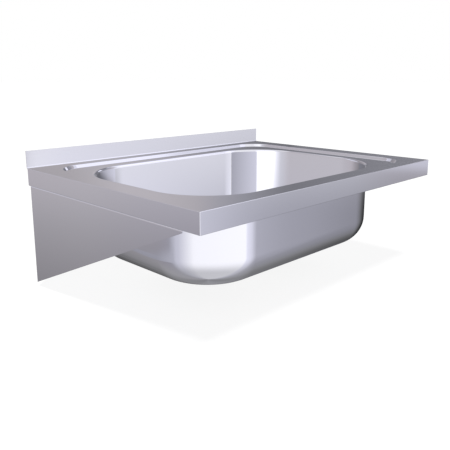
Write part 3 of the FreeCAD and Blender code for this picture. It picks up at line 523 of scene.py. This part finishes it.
outside = add_node(tree, "GeometryNodeExtrudeMesh", {
    "Mesh": skin, "Offset Scale": size["Sheet"], "Individual": False})
inside = add_node(tree, "GeometryNodeFlipFaces", {"Mesh": skin})
bowl = add_node(tree, "GeometryNodeJoinGeometry", {"Geometry": [inside, outside]})
bowl = add_node(tree, "GeometryNodeMergeByDistance", {"Geometry": bowl, "Distance": WELD_DISTANCE})
bowl = add_node(tree, "GeometryNodeSetShadeSmooth", {"Geometry": bowl, "Shade Smooth": True})
turn = add_node(tree, "GeometryNodeInputMeshEdgeAngle")
sharp = add_node(tree, "FunctionNodeCompare", {0: turn, 1: SHARP_TURN}, operation="GREATER_THAN")
bowl = add_node(tree, "GeometryNodeSetShadeSmooth", {
    "Geometry": bowl, "Selection": sharp, "Shade Smooth": False}, domain="EDGE")
bowl = put_at(tree, bowl, size["Middle"], size["Level"])
make_piece(tree, bowl, sizes, "polished_steel", "bowl")

# %% [markdown]
# ## Bolts, nuts and washers
# Two M6 bolts hold each bracket's top flange against the lip of the worktop. A hexagon bolt is
# forged, and its corners are then turned off, so that a flat hexagon meets a cone. We make that cut
# as it is made in the shop: a six-sided blank intersects a cone from each end. The thread is a
# triangle that is swept along a spiral. One fastener of each kind is then put on the corners of a
# grid, whose size we read from the CAD bolts.

# %% What the fasteners share
HEXAGON = 6
TRIANGLE = 3
ROUND_SIDES = 48
FLATS = 10 * MM
CORNER_RADIUS = FLATS / math.sqrt(3)
FACE_SHARE = 0.95               # the flat face that the turning leaves, as a share of the flats
FACE_RADIUS = FACE_SHARE * FLATS / 2
CHAMFER = math.radians(30)

bolt_low, bolt_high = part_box("bracket_bolts")
GRID = {"Grid Width": bolt_high.x - bolt_low.x - 2 * CORNER_RADIUS,
        "Grid Length": bolt_high.y - bolt_low.y - FLATS,
        "Grid Middle": (bolt_low.y + bolt_high.y) / 2}


def turned_hexagon(tree, sizes, height):
    """Add a hexagon that stands on the origin, with its corners turned off at both ends."""
    corner, narrow = sizes["Corner Radius"], sizes["Face Radius"]
    wide = add_node(tree, "ShaderNodeMath", {
        0: height, 1: 1 / math.tan(CHAMFER), 2: narrow}, operation="MULTIPLY_ADD")
    blanks = [add_node(tree, "GeometryNodeMeshCone", {
        "Vertices": sides, "Radius Top": top, "Radius Bottom": bottom, "Depth": height})
        for sides, top, bottom in (
            (HEXAGON, corner, corner), (ROUND_SIDES, narrow, wide), (ROUND_SIDES, wide, narrow))]
    return add_node(tree, "GeometryNodeMeshBoolean", {
        "Mesh 2": blanks}, operation="INTERSECT", solver="EXACT")


def thread_on(tree, sizes, length):
    """Add a screw thread: a triangle swept along a spiral that rises from the origin."""
    turns = add_node(tree, "ShaderNodeMath", {0: length, 1: sizes["Thread Pitch"]}, operation="DIVIDE")
    spiral = add_node(tree, "GeometryNodeCurveSpiral", {
        "Resolution": sizes["Turn Points"], "Rotations": turns, "Height": length,
        "Start Radius": sizes["Core Radius"], "End Radius": sizes["Core Radius"]})
    rib = add_node(tree, "GeometryNodeCurvePrimitiveCircle", {
        "Resolution": TRIANGLE, "Radius": sizes["Thread Radius"]})
    return swept(tree, spiral, rib, closed=True)


def on_grid(tree, sizes, fastener):
    """Put a fastener on the four corners of the bolts' grid."""
    grid = add_node(tree, "GeometryNodeMeshGrid", {
        "Size X": sizes["Grid Width"], "Size Y": sizes["Grid Length"], "Vertices X": 2, "Vertices Y": 2})
    corners = put_at(tree, grid, sizes["Grid Middle"], sizes["Foot"])
    return add_node(tree, "GeometryNodeInstanceOnPoints", {"Points": corners, "Instance": fastener})


print("bolts on a grid of", [round(size / MM, 1) for size in GRID.values()], "mm")

# %% [markdown]
# A bolt is its turned head on top of a shank, and the shank is a smooth core with the thread wound
# round it. The length comes from the CAD bolts; the pitch and the core are those of an M6 thread.

# %% Bolts
HEAD_HEIGHT = 4 * MM
THREAD_PITCH = 1 * MM
CORE_RADIUS = 2.45 * MM
THREAD_RADIUS = 0.55 * MM       # from the middle of the thread's triangle to its corners
BOLT_TURN_POINTS = 24

sizes = {"Corner Radius": CORNER_RADIUS, "Face Radius": FACE_RADIUS, "Head Height": HEAD_HEIGHT,
         "Shank Length": bolt_high.z - bolt_low.z - HEAD_HEIGHT, "Core Radius": CORE_RADIUS,
         "Thread Pitch": THREAD_PITCH, "Thread Radius": THREAD_RADIUS, "Turn Points": BOLT_TURN_POINTS,
         "Foot": bolt_low.z, **GRID}
tree, size = new_recipe("hexagon_bolts", sizes)
head = turned_hexagon(tree, size, size["Head Height"])
head = put_at(tree, head, 0.0, size["Shank Length"])
shank = add_node(tree, "GeometryNodeMeshCone", {
    "Vertices": ROUND_SIDES, "Depth": size["Shank Length"],
    "Radius Top": size["Core Radius"], "Radius Bottom": size["Core Radius"]})
thread = thread_on(tree, size, size["Shank Length"])
bolt = add_node(tree, "GeometryNodeJoinGeometry", {"Geometry": [head, shank, thread]})
make_piece(tree, on_grid(tree, size, bolt), sizes, "fastener_steel", "bracket_bolts")

# %% [markdown]
# A nut is the same turned hexagon with a hole drilled through it. Its own thread is left out,
# because the bolt fills the hole and hides it.

# %% Nuts
NUT_BORE = 6.1 * MM
DRILL_REACH = 4                 # the drill is this many nuts long, so that it cuts right through

nut_low, nut_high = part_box("bracket_nuts")
nut_height = nut_high.z - nut_low.z
sizes = {"Corner Radius": CORNER_RADIUS, "Face Radius": FACE_RADIUS, "Nut Height": nut_height,
         "Bore Radius": NUT_BORE / 2, "Drill Length": DRILL_REACH * nut_height,
         "Foot": nut_low.z, **GRID}
tree, size = new_recipe("hexagon_nuts", sizes)
drill = add_node(tree, "GeometryNodeMeshCylinder", {
    "Vertices": ROUND_SIDES, "Radius": size["Bore Radius"], "Depth": size["Drill Length"]})
blank = turned_hexagon(tree, size, size["Nut Height"])
nut = add_node(tree, "GeometryNodeMeshBoolean", {
    "Mesh 1": blank, "Mesh 2": drill}, operation="DIFFERENCE", solver="EXACT")
make_piece(tree, on_grid(tree, size, nut), sizes, "fastener_steel", "bracket_nuts")

# %% [markdown]
# A washer is stamped from sheet, and the punch leaves its edges a little rounded. A small rounded
# rectangle that is carried round a circle gives that edge without any bevel.

# %% Washers
WASHER_BORE = 6.6 * MM
STAMPED_EDGE = 0.3 * MM
STAMPED_POINTS = 3

washer_low, washer_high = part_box("bracket_washers")
washer_width = washer_high.x - washer_low.x - GRID["Grid Width"]
sizes = {"Ring Radius": (washer_width + WASHER_BORE) / 4, "Ring Width": (washer_width - WASHER_BORE) / 2,
         "Thickness": washer_high.z - washer_low.z, "Edge": STAMPED_EDGE,
         "Foot": (washer_low.z + washer_high.z) / 2, **GRID}
tree, size = new_recipe("stamped_washers", sizes)
ring = add_node(tree, "GeometryNodeCurvePrimitiveCircle", {
    "Resolution": ROUND_SIDES, "Radius": size["Ring Radius"]})
section = rounded_rectangle(tree, size["Ring Width"], size["Thickness"], size["Edge"], STAMPED_POINTS)
washer = swept(tree, ring, section)
make_piece(tree, on_grid(tree, size, washer), sizes, "fastener_steel", "bracket_washers")

# %% [markdown]
# ## The outlet's thread
# A trap's union nut screws on to the outlet of the waste. Its pipe thread is moulded, eleven turns
# to the inch, and the CAD model has a plain cylinder there. The same swept triangle, larger and in
# plastic, winds round that cylinder and stands half a millimetre proud of it.

# %% Outlet thread
INCH = 25.4 * MM
TURNS_PER_INCH = 11
PIPE_PITCH = INCH / TURNS_PER_INCH
PIPE_RIB = 1.0 * MM
PIPE_PROUD = 0.5 * MM
OUTLET_RADIUS = 23.9 * MM
THREAD_LENGTH = 15 * MM
THREAD_LEAD = 1.5 * MM          # plain end below the first turn
PIPE_TURN_POINTS = 72

cup_low, cup_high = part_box("waste_cup")
sizes = {"Core Radius": OUTLET_RADIUS + PIPE_PROUD - PIPE_RIB, "Thread Pitch": PIPE_PITCH,
         "Thread Radius": PIPE_RIB, "Thread Length": THREAD_LENGTH, "Turn Points": PIPE_TURN_POINTS,
         "Middle": (cup_low.y + cup_high.y) / 2, "Foot": cup_low.z + THREAD_LEAD}
tree, size = new_recipe("outlet_thread", sizes)
thread = thread_on(tree, size, size["Thread Length"])
make_piece(tree, put_at(tree, thread, size["Middle"], size["Foot"]), sizes, "white_plastic")

# %% [markdown]
# ## The damping pad
# Under the bowl's floor lies a stamped pad with rows of raised squares; they make it stiffer
# where it bends and let the air out while it is pressed on. The pad's outline is a rounded
# rectangle with a hole for the waste, filled and extruded downwards.

# %% Sheet of the damping pad
PAD_CORNER = 40 * MM
PAD_HOLE = 141 * MM
HOLE_SIDES = 96
STUD_PITCH = 11 * MM
STUD_WIDTH = 8 * MM
STUD_HEIGHT = 0.8 * MM
STUD_LEAN = 0.85                # top of a stud as a share of its foot
STUD_MARGIN = 7 * MM            # from a stud's middle to the outline and to the hole

pad_low, pad_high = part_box("sound_pad")
pad_width, pad_length, pad_height = pad_high - pad_low
stud_columns, stud_rows = (2 * int(side / 2 / STUD_PITCH) + 1 for side in (pad_width, pad_length))
sizes = {"Width": pad_width, "Length": pad_length, "Corner": PAD_CORNER, "Hole Radius": PAD_HOLE / 2,
         "Sheet Level": STUD_HEIGHT - pad_height, "Stud Level": -pad_height,
         "Stud Foot": STUD_WIDTH / math.sqrt(2), "Stud Top": STUD_LEAN * STUD_WIDTH / math.sqrt(2),
         "Stud Height": STUD_HEIGHT, "Margin": STUD_MARGIN, "Columns": stud_columns, "Rows": stud_rows,
         "Field Width": (stud_columns - 1) * STUD_PITCH, "Field Length": (stud_rows - 1) * STUD_PITCH,
         "Middle": (pad_low.y + pad_high.y) / 2, "Top": pad_high.z}
tree, size = new_recipe("damping_pad", sizes)
outline = rounded_rectangle(tree, size["Width"], size["Length"], size["Corner"], ARC_POINTS)
hole = add_node(tree, "GeometryNodeCurvePrimitiveCircle", {
    "Resolution": HOLE_SIDES, "Radius": size["Hole Radius"]})
edges = add_node(tree, "GeometryNodeJoinGeometry", {"Geometry": [outline, hole]})
face = add_node(tree, "GeometryNodeFillCurve", {"Curve": edges})
under = add_node(tree, "ShaderNodeCombineXYZ", {"Z": size["Sheet Level"]})
sheet = add_node(tree, "GeometryNodeExtrudeMesh", {"Mesh": face, "Offset": under, "Individual": False})
sheet = add_node(tree, "GeometryNodeJoinGeometry", {"Geometry": [sheet, face]})
sheet = add_node(tree, "GeometryNodeMergeByDistance", {"Geometry": sheet, "Distance": WELD_DISTANCE})
print("a field of", stud_columns, "by", stud_rows, "studs")

# %% [markdown]
# The squares stand on the points of a grid, but only where they keep a margin from the outline and
# from the hole. The centres of the outline's corners span a smaller rectangle, so how far a point
# lies beyond that one is compared with the corner's radius.

# %% Where the studs may stand
spot = add_node(tree, "GeometryNodeInputPosition")
half = add_node(tree, "ShaderNodeCombineXYZ", {"X": size["Width"], "Y": size["Length"]})
half = add_node(tree, "ShaderNodeVectorMath", {0: half, "Scale": 0.5}, operation="SCALE")
straight = add_node(tree, "ShaderNodeVectorMath", {0: half, 1: size["Corner"]}, operation="SUBTRACT")
beyond = add_node(tree, "ShaderNodeVectorMath", {0: spot}, operation="ABSOLUTE")
beyond = add_node(tree, "ShaderNodeVectorMath", {0: beyond, 1: straight}, operation="SUBTRACT")
beyond = add_node(tree, "ShaderNodeVectorMath", {0: beyond, 1: (0, 0, 0)}, operation="MAXIMUM")
beyond = add_node(tree, "ShaderNodeVectorMath", {0: beyond, 1: (1, 1, 0)}, operation="MULTIPLY")
beyond = add_node(tree, "ShaderNodeVectorMath", {0: beyond}, operation="LENGTH")
room = add_node(tree, "ShaderNodeMath", {0: size["Corner"], 1: size["Margin"]}, operation="SUBTRACT")
in_outline = add_node(tree, "FunctionNodeCompare", {
    0: beyond.outputs["Value"], 1: room}, operation="LESS_THAN")
from_middle = add_node(tree, "ShaderNodeVectorMath", {0: spot}, operation="LENGTH")
clear = add_node(tree, "ShaderNodeMath", {0: size["Hole Radius"], 1: size["Margin"]}, operation="ADD")
off_hole = add_node(tree, "FunctionNodeCompare", {
    0: from_middle.outputs["Value"], 1: clear}, operation="GREATER_THAN")
chosen = add_node(tree, "FunctionNodeBooleanMath", {0: in_outline, 1: off_hole}, operation="AND")
print("studs keep", STUD_MARGIN / MM, "mm from the edges")

# %% [markdown]
# A raised square is a cone with four sides, cut off low, so it costs only six faces. It hangs under
# the sheet, with its wide end up, and is turned by 45 degrees so that its sides follow the rows.

# %% Studs of the damping pad
STUD_SIDES = 4
STUD_TURN = (0, 0, math.radians(45))

field = add_node(tree, "GeometryNodeMeshGrid", {
    "Size X": size["Field Width"], "Size Y": size["Field Length"],
    "Vertices X": size["Columns"], "Vertices Y": size["Rows"]})
stud = add_node(tree, "GeometryNodeMeshCone", {
    "Vertices": STUD_SIDES, "Radius Top": size["Stud Foot"], "Radius Bottom": size["Stud Top"],
    "Depth": size["Stud Height"]})
hang = add_node(tree, "ShaderNodeCombineXYZ", {"Z": size["Stud Level"]})
stud = add_node(tree, "GeometryNodeTransform", {
    "Geometry": stud, "Translation": hang, "Rotation": STUD_TURN})
studs = add_node(tree, "GeometryNodeInstanceOnPoints", {
    "Points": field, "Selection": chosen, "Instance": stud})
pad = add_node(tree, "GeometryNodeJoinGeometry", {"Geometry": [sheet, studs]})
make_piece(tree, put_at(tree, pad, size["Middle"], size["Top"]), sizes, "damping_pad", "sound_pad")

# %% [markdown]
# ## The weld under the rim
# The bowl's edge is welded into the worktop. On top the weld is ground flush and polished away;
# below, nobody grinds it, and a thin rippled bead runs round the bowl. A rounded rectangle is the
# path, a small circle is swept along it, and its scale swells and shrinks with the length of the
# path, once for each drop of the weld pool.

# %% Weld bead
WORKTOP_SHEET = 1.2 * MM
BEAD_RADIUS = 0.9 * MM
BEAD_SIDES = 8
BEAD_RIPPLE = 3.0 * MM
RIPPLE_POINTS = 4               # points of the path to one ripple
RIPPLE_SHARE = 0.14             # how far a ripple swells the bead
RIM_CORNER = 111.5 * MM         # plan radius of the bowl's welded edge

sizes = {"Width": bowl_width, "Length": bowl_length, "Corner": RIM_CORNER,
         "Bead Radius": BEAD_RADIUS, "Ripple": BEAD_RIPPLE, "Swell": RIPPLE_SHARE,
         "Step": BEAD_RIPPLE / RIPPLE_POINTS, "Middle": bowl_middle, "Level": bowl_high.z - WORKTOP_SHEET}
tree, size = new_recipe("weld_bead", sizes)
path = rounded_rectangle(tree, size["Width"], size["Length"], size["Corner"], PLAN_POINTS)
path = add_node(tree, "GeometryNodeResampleCurve", {"Curve": path, "Length": size["Step"]}, mode="LENGTH")
run = add_node(tree, "GeometryNodeSplineParameter")
drops = add_node(tree, "ShaderNodeMath", {0: run.outputs["Length"], 1: size["Ripple"]}, operation="DIVIDE")
drop = add_node(tree, "ShaderNodeMath", {0: drops}, operation="FRACT")
swell = add_node(tree, "ShaderNodeMath", {0: drop, 1: size["Swell"], 2: 1.0}, operation="MULTIPLY_ADD")
section = add_node(tree, "GeometryNodeCurvePrimitiveCircle", {
    "Resolution": BEAD_SIDES, "Radius": size["Bead Radius"]})
bead = add_node(tree, "GeometryNodeCurveToMesh", {"Curve": path, "Profile Curve": section, "Scale": swell})
make_piece(tree, put_at(tree, bead, size["Middle"], size["Level"]), sizes, "satin_steel")

# %% [markdown]
# ## The white page
# The sink stands free on a white page with a faint shadow. The world is white for the rays that
# show it, straight, mirrored or through glass, and dimmer for the light that it sheds. One helper
# tells these rays apart, because the floor asks the same.

# %% World
SKY_LIGHT = 0.3


def shows(tree):
    """Add the nodes that give 1 for a ray that shows a surface, and 0 for one that only lights it."""
    ray = add_node(tree, "ShaderNodeLightPath").outputs
    seen = add_node(tree, "ShaderNodeMath", {
        0: ray["Is Camera Ray"], 1: ray["Is Glossy Ray"]}, operation="ADD")
    return add_node(tree, "ShaderNodeMath", {
        0: seen, 1: ray["Is Transmission Ray"]}, operation="ADD", use_clamp=True)


world = bpy.data.worlds.new("white_page")
bpy.context.scene.world = world
world.use_nodes = True
tree = world.node_tree
tree.nodes.clear()
strength = add_node(tree, "ShaderNodeMapRange", {"Value": shows(tree), "To Min": SKY_LIGHT, "To Max": 1.0})
page = add_node(tree, "ShaderNodeBackground", {"Color": linear(WHITE), "Strength": strength})
add_node(tree, "ShaderNodeOutputWorld", {"Surface": page})
print("world sheds", SKY_LIGHT, "of the white that it shows")

# %% [markdown]
# The floor is mostly a white glow with a little plain diffuse white in it, and that part takes the
# shadow. Its underside is clear, so that the sink can be looked at from below.

# %% Floor
FLOOR_GAP = 2 * MM
FLOOR_REACH = 30.0              # metres from the middle to each side
FLOOR_WHITE = "#EEEEEE"
GLOW_SHARE = 0.80
GLOW_LIGHT = 1.113              # with the lit part of the floor this comes out just white

floor_paint, tree = new_material("white_page_floor")
glow_share = add_node(tree, "ShaderNodeMath", {0: shows(tree), 1: GLOW_SHARE}, operation="MULTIPLY")
plain = add_node(tree, "ShaderNodeBsdfDiffuse", {"Color": linear(FLOOR_WHITE)})
glow = add_node(tree, "ShaderNodeEmission", {"Color": linear(WHITE), "Strength": GLOW_LIGHT})
mixed = add_node(tree, "ShaderNodeMixShader", {0: glow_share, 1: plain, 2: glow})
side = add_node(tree, "ShaderNodeNewGeometry")
clear = add_node(tree, "ShaderNodeBsdfTransparent")
one_sided = add_node(tree, "ShaderNodeMixShader", {0: side.outputs["Backfacing"], 1: mixed, 2: clear})
add_node(tree, "ShaderNodeOutputMaterial", {"Surface": one_sided})

level = CAD_BOX[0][2] - FLOOR_GAP
corners = [(FLOOR_REACH * x, FLOOR_REACH * y, level) for x, y in ((-1, -1), (1, -1), (1, 1), (-1, 1))]
mesh = bpy.data.meshes.new("floor")
mesh.from_pydata(corners, [], [(0, 1, 2, 3)])
mesh.materials.append(floor_paint)
floor = add_object("floor", mesh)
floor.visible_glossy = False
print("floor at", round(level, 4), "m")

# %% [markdown]
# ## The light tent
# Steel has hardly any colour of its own: it shows what stands round it. A photographer puts it in
# a tent of white cloth with darker panels. The tent here is a large sphere that only reflections
# see. Its brightness is given round the compass, from the wall behind the sink (0 degrees) over
# its right side (90) and its front (180) to its left side (270), once for the cloth at the sides
# and once for the cloth of the roof.

# %% Cloth of the tent
SIDE_CLOTH = [     # compass angle in degrees, brightness, tint
    (0, 0.16, "#FFFBFD"), (10, 0.05, "#FFFBFD"), (34, 0.06, "#FFF9FD"), (45, 0.28, "#F8F6FF"),
    (53, 0.18, "#F5F5FF"), (68, 0.08, "#F5F5FF"), (82, 0.03, "#FFFFFF"), (95, 0.11, "#FFFFFF"),
    (104, 0.23, "#FBFBFF"), (116, 0.37, "#F5F5FF"), (121, 0.41, "#F5F5FF"), (127, 0.515, "#F5F5FF"),
    (130, 0.54, "#F5F5FF"), (134, 0.63, "#F5F5FF"), (144, 1.04, "#F5F5FF"), (154, 1.24, "#F5F5FF"),
    (157, 1.42, "#FFFFFF"), (237, 1.36, "#FFFFFF"), (247, 1.34, "#FFFFFF"), (260, 1.10, "#FBFBFF"),
    (274, 0.86, "#F5F5FF"), (286, 0.82, "#F5F5FF"), (300, 0.74, "#FAF6FF"), (320, 0.71, "#FCF8FE"),
    (328, 0.69, "#FFFBFD"), (335, 0.60, "#FFFBFD"), (345, 0.47, "#FFFBFD")]
ROOF_CLOTH = [
    (0, 0.42, "#FFF9FD"), (14, 0.42, "#FFF9FD"), (20, 0.46, "#FFF9FD"), (28, 0.49, "#FFF9FD"),
    (34, 0.62, "#FFF9FD"), (38, 0.60, "#FFF9FD"), (42, 0.55, "#FFF9FD"), (45, 0.48, "#F8F6FF"),
    (48, 0.40, "#F5F5FF"), (53, 0.26, "#F5F5FF"), (58, 0.28, "#F5F5FF"), (66, 0.30, "#F5F5FF"),
    (80, 0.38, "#F5F5FF"), (96, 0.46, "#F5F5FF"), (108, 0.64, "#FFF9FD"), (119, 0.68, "#FFF9FD"),
    (124, 0.94, "#FBFBFF"), (131, 0.98, "#FBFBFF"), (137, 1.04, "#FBFBFF"), (152, 1.13, "#FBFBFF"),
    (160, 1.25, "#FFFFFF"), (215, 1.25, "#FFFFFF"), (224, 1.80, "#FFFFFF"), (259, 1.90, "#FFFFFF"),
    (270, 1.34, "#FBFBFF"), (280, 0.91, "#FBFBFF"), (300, 0.76, "#FFFBFD"), (312, 0.69, "#FFFBFD"),
    (334, 0.66, "#FFF7FB"), (346, 0.50, "#FFF7FB")]
print("side cloth with", len(SIDE_CLOTH), "stops, roof cloth with", len(ROOF_CLOTH))

# %% [markdown]
# A point of the sphere is known by its bearing, round the compass, and by its height above the
# horizon. A colour ramp for each cloth reads the bearing. The height then lays the bands over each
# other from the ground up: a pale ground, the sides, the roof and a lamp at the top. On the left
# the side cloth fades towards its hem, which darkens the foot of the bracket.

# %% Bands of cloth
FULL_TURN = 360.0
TENT_PEAK = 3.0                    # a ramp's colours end at 1, so they are shares of this brightness
GROUND_LIGHT = 0.47
GROUND_SHEEN = 0.35                # share of the side cloth that the ground throws back
TOP_LIGHT = 1.15
SIDE_SPAN = (-60, -20)             # heights in degrees between which the sides, the roof and
ROOF_SPAN = (-15, -3)              # the lamp at the top set in
TOP_SPAN = (50, 60)
HEM_SPAN = (-20, -8)               # heights between which the left side cloth fades
HEM_SIDE = (278, 292)              # bearings between which that fade sets in
HEM_LIGHT = 0.57                   # what it leaves
NUMBER_A, NUMBER_B = 2, 3          # a Mix node's number sockets

tent_cloth, tree = new_material("light_tent_cloth")
place = add_node(tree, "ShaderNodeTexCoord").outputs
ray = add_node(tree, "ShaderNodeVectorMath", {0: place["Object"]}, operation="NORMALIZE")
ray = add_node(tree, "ShaderNodeSeparateXYZ", {0: ray}).outputs
angle = add_node(tree, "ShaderNodeMath", {0: ray["X"], 1: ray["Y"]}, operation="ARCTAN2")
turns = add_node(tree, "ShaderNodeMath", {0: angle, 1: 2 * math.pi}, operation="DIVIDE")
compass = add_node(tree, "ShaderNodeMath", {0: turns}, operation="FRACT")
bearing = add_node(tree, "ShaderNodeMath", {0: compass, 1: FULL_TURN}, operation="MULTIPLY")
rise = add_node(tree, "ShaderNodeMath", {0: ray["Z"]}, operation="ARCSINE")
height = add_node(tree, "ShaderNodeMath", {0: rise}, operation="DEGREES")
hem = add_node(tree, "ShaderNodeMapRange", {
    "Value": height, "From Min": HEM_SPAN[0], "From Max": HEM_SPAN[1], "To Min": HEM_LIGHT, "To Max": 1.0})
on_left = add_node(tree, "ShaderNodeMapRange", {
    "Value": bearing, "From Min": HEM_SIDE[0], "From Max": HEM_SIDE[1]})
dimmed = add_node(tree, "ShaderNodeMix", {0: on_left, NUMBER_A: 1.0, NUMBER_B: hem})
side_light = add_node(tree, "ShaderNodeMath", {0: dimmed, 1: TENT_PEAK}, operation="MULTIPLY")
bands = []
for stops, light in ((SIDE_CLOTH, side_light), (ROOF_CLOTH, TENT_PEAK)):
    ramp = add_node(tree, "ShaderNodeValToRGB", {0: compass})
    marks = ramp.color_ramp.elements
    while len(marks) < len(stops) + 1:
        marks.new(1.0)
    for mark, (degrees, brightness, tint) in zip(marks, stops + [(FULL_TURN, *stops[0][1:])]):
        mark.position = degrees / FULL_TURN
        mark.color = [c * brightness / TENT_PEAK for c in linear(tint)[:3]] + [1.0]
    bands.append(add_node(tree, "ShaderNodeEmission", {"Color": ramp, "Strength": light}))
sides, roof = bands
ground, top = (add_node(tree, "ShaderNodeEmission", {"Color": linear(WHITE), "Strength": light})
               for light in (GROUND_LIGHT, TOP_LIGHT))
cloth = add_node(tree, "ShaderNodeMixShader", {0: GROUND_SHEEN, 1: ground, 2: sides})
for band, (foot, head) in ((sides, SIDE_SPAN), (roof, ROOF_SPAN), (top, TOP_SPAN)):
    share = add_node(tree, "ShaderNodeMapRange", {
        "Value": height, "From Min": foot, "From Max": head}, interpolation_type="SMOOTHSTEP")
    cloth = add_node(tree, "ShaderNodeMixShader", {0: share, 1: cloth, 2: band})
print("ground, sides, roof and top are laid over each other with", len(tree.nodes), "nodes")

# %% [markdown]
# A photographer also hangs boards in front of the cloth, white ones and grey ones. Their reflections
# have sharp edges, and those draw the folds, the rim of the bowl and its upright highlights. Each
# card here is a rectangle of bearings and heights, and its brightness may change from its left edge
# to its right one.

# %% Cards in front of the cloth
CARDS = [          # left and right edge, foot and head in degrees, brightness at the left and the right
    (157, 220.5, -11.6, 12, 0.60, 0.98), (128, 158, 0, 9, 1.75, 1.75),
    (128, 158, 22.5, 47, 1.48, 1.48), (129.5, 158, 22.5, 33, 1.75, 1.75),
    (30, 53, -3, 8.6, 0.54, 0.20), (62, 79, 14.5, 25, 1.40, 1.40),
    (336, 353, 38, 50, 1.30, 1.30), (116, 127, 28, 41, 1.12, 1.12),
    (80, 131, 42.5, 56, 1.35, 1.75), (30, 80, 38, 54, 0.70, 1.10),
    (76, 127, -7.6, 3, 0.50, 1.00), (284, 327, -28, -20.2, 0.66, 0.46),
    (2, 40, -26, -3, 0.32, 0.24), (334, 358, 9, 37, 0.95, 0.95)]
CARD_TINT = "#F5F5FF"
CARD_EDGE = 1.0                    # degrees over which a card's edge fades

for left, right, foot, head, light_left, light_right in CARDS:
    card = 1.0
    for measure, edge, fade in (
            (bearing, left, -1), (bearing, right, 1), (height, foot, -1), (height, head, 1)):
        inside = add_node(tree, "ShaderNodeMapRange", {
            "Value": measure, "From Min": edge + fade * CARD_EDGE, "From Max": edge})
        card = add_node(tree, "ShaderNodeMath", {0: inside, 1: card}, operation="MULTIPLY")
    light = add_node(tree, "ShaderNodeMapRange", {
        "Value": bearing, "From Min": left, "From Max": right, "To Min": light_left, "To Max": light_right})
    paper = add_node(tree, "ShaderNodeEmission", {"Color": linear(CARD_TINT), "Strength": light})
    cloth = add_node(tree, "ShaderNodeMixShader", {0: card, 1: cloth, 2: paper})
add_node(tree, "ShaderNodeOutputMaterial", {"Surface": cloth})
print("tent with", len(CARDS), "cards")

# %% [markdown]
# The sphere itself is far larger than the sink, so that a bearing is the same for every piece. It
# is hidden from all rays but reflections, so it neither lights the floor nor hides the page.

# %% Hang the tent
TENT_RADIUS = 12.0
TENT_SEGMENTS, TENT_RINGS = 64, 32

shape = bmesh.new()
bmesh.ops.create_uvsphere(shape, u_segments=TENT_SEGMENTS, v_segments=TENT_RINGS, radius=TENT_RADIUS)
mesh = bpy.data.meshes.new("light_tent")
shape.to_mesh(mesh)
shape.free()
mesh.materials.append(tent_cloth)
tent = add_object("light_tent", mesh)
for kind in ("camera", "diffuse", "transmission", "volume_scatter", "shadow"):
    setattr(tent, f"visible_{kind}", False)
print("tent", 2 * TENT_RADIUS, "m across")

# %% [markdown]
# ## Key light
# One soft sun from behind the camera lights the floor and the few pieces that aren't metal. A sun
# is even all over the floor, so the page stays white and the shadow under the sink is one flat,
# faint grey. The steel doesn't mirror it, because its reflections come from the tent.

# %% Key light
SUN_TURN = 45.0          # degrees to the right of straight ahead, the way the light goes
SUN_HEIGHT = 66.0        # degrees above the horizon
SUN_WIDTH = 10.0         # degrees across, which softens the shadow's edge
SUN_POWER = 2.6

sun_data = bpy.data.lights.new("key_sun", "SUN")
sun_data.angle = math.radians(SUN_WIDTH)
sun_data.energy = SUN_POWER
sun = add_object("key_sun", sun_data)
sun.rotation_euler = (math.radians(90 - SUN_HEIGHT), 0.0, -math.radians(SUN_TURN))
sun.visible_glossy = False
print("sun", SUN_HEIGHT, "degrees above the horizon")

# %% [markdown]
# ## Camera
# The camera's place, direction and lens come from the corners of the worktop in the photograph. A
# fit to measured corners is surer than placing by eye: every edge then runs as it does there. The
# shift moves the frame down without turning the camera, so upright edges keep their slant.

# %% Camera
CAMERA_PLACE = (-0.7344, -0.9278, 0.2790)
CAMERA_TURN = 44.93      # degrees from straight ahead towards the right
CAMERA_DIP = 11.97       # degrees below the horizon
CAMERA_LENS = 44.51      # millimetres on a 36 mm sensor
CAMERA_SHIFT = (0.0002, -0.0694)

camera_data = bpy.data.cameras.new("photo_camera")
camera_data.lens = CAMERA_LENS
camera_data.shift_x, camera_data.shift_y = CAMERA_SHIFT
camera = add_object("photo_camera", camera_data)
camera.location = CAMERA_PLACE
camera.rotation_euler = (math.radians(90 - CAMERA_DIP), 0.0, -math.radians(CAMERA_TURN))
bpy.context.scene.camera = camera
bpy.context.scene.view_settings.view_transform = "Standard"
print("camera at", CAMERA_PLACE)
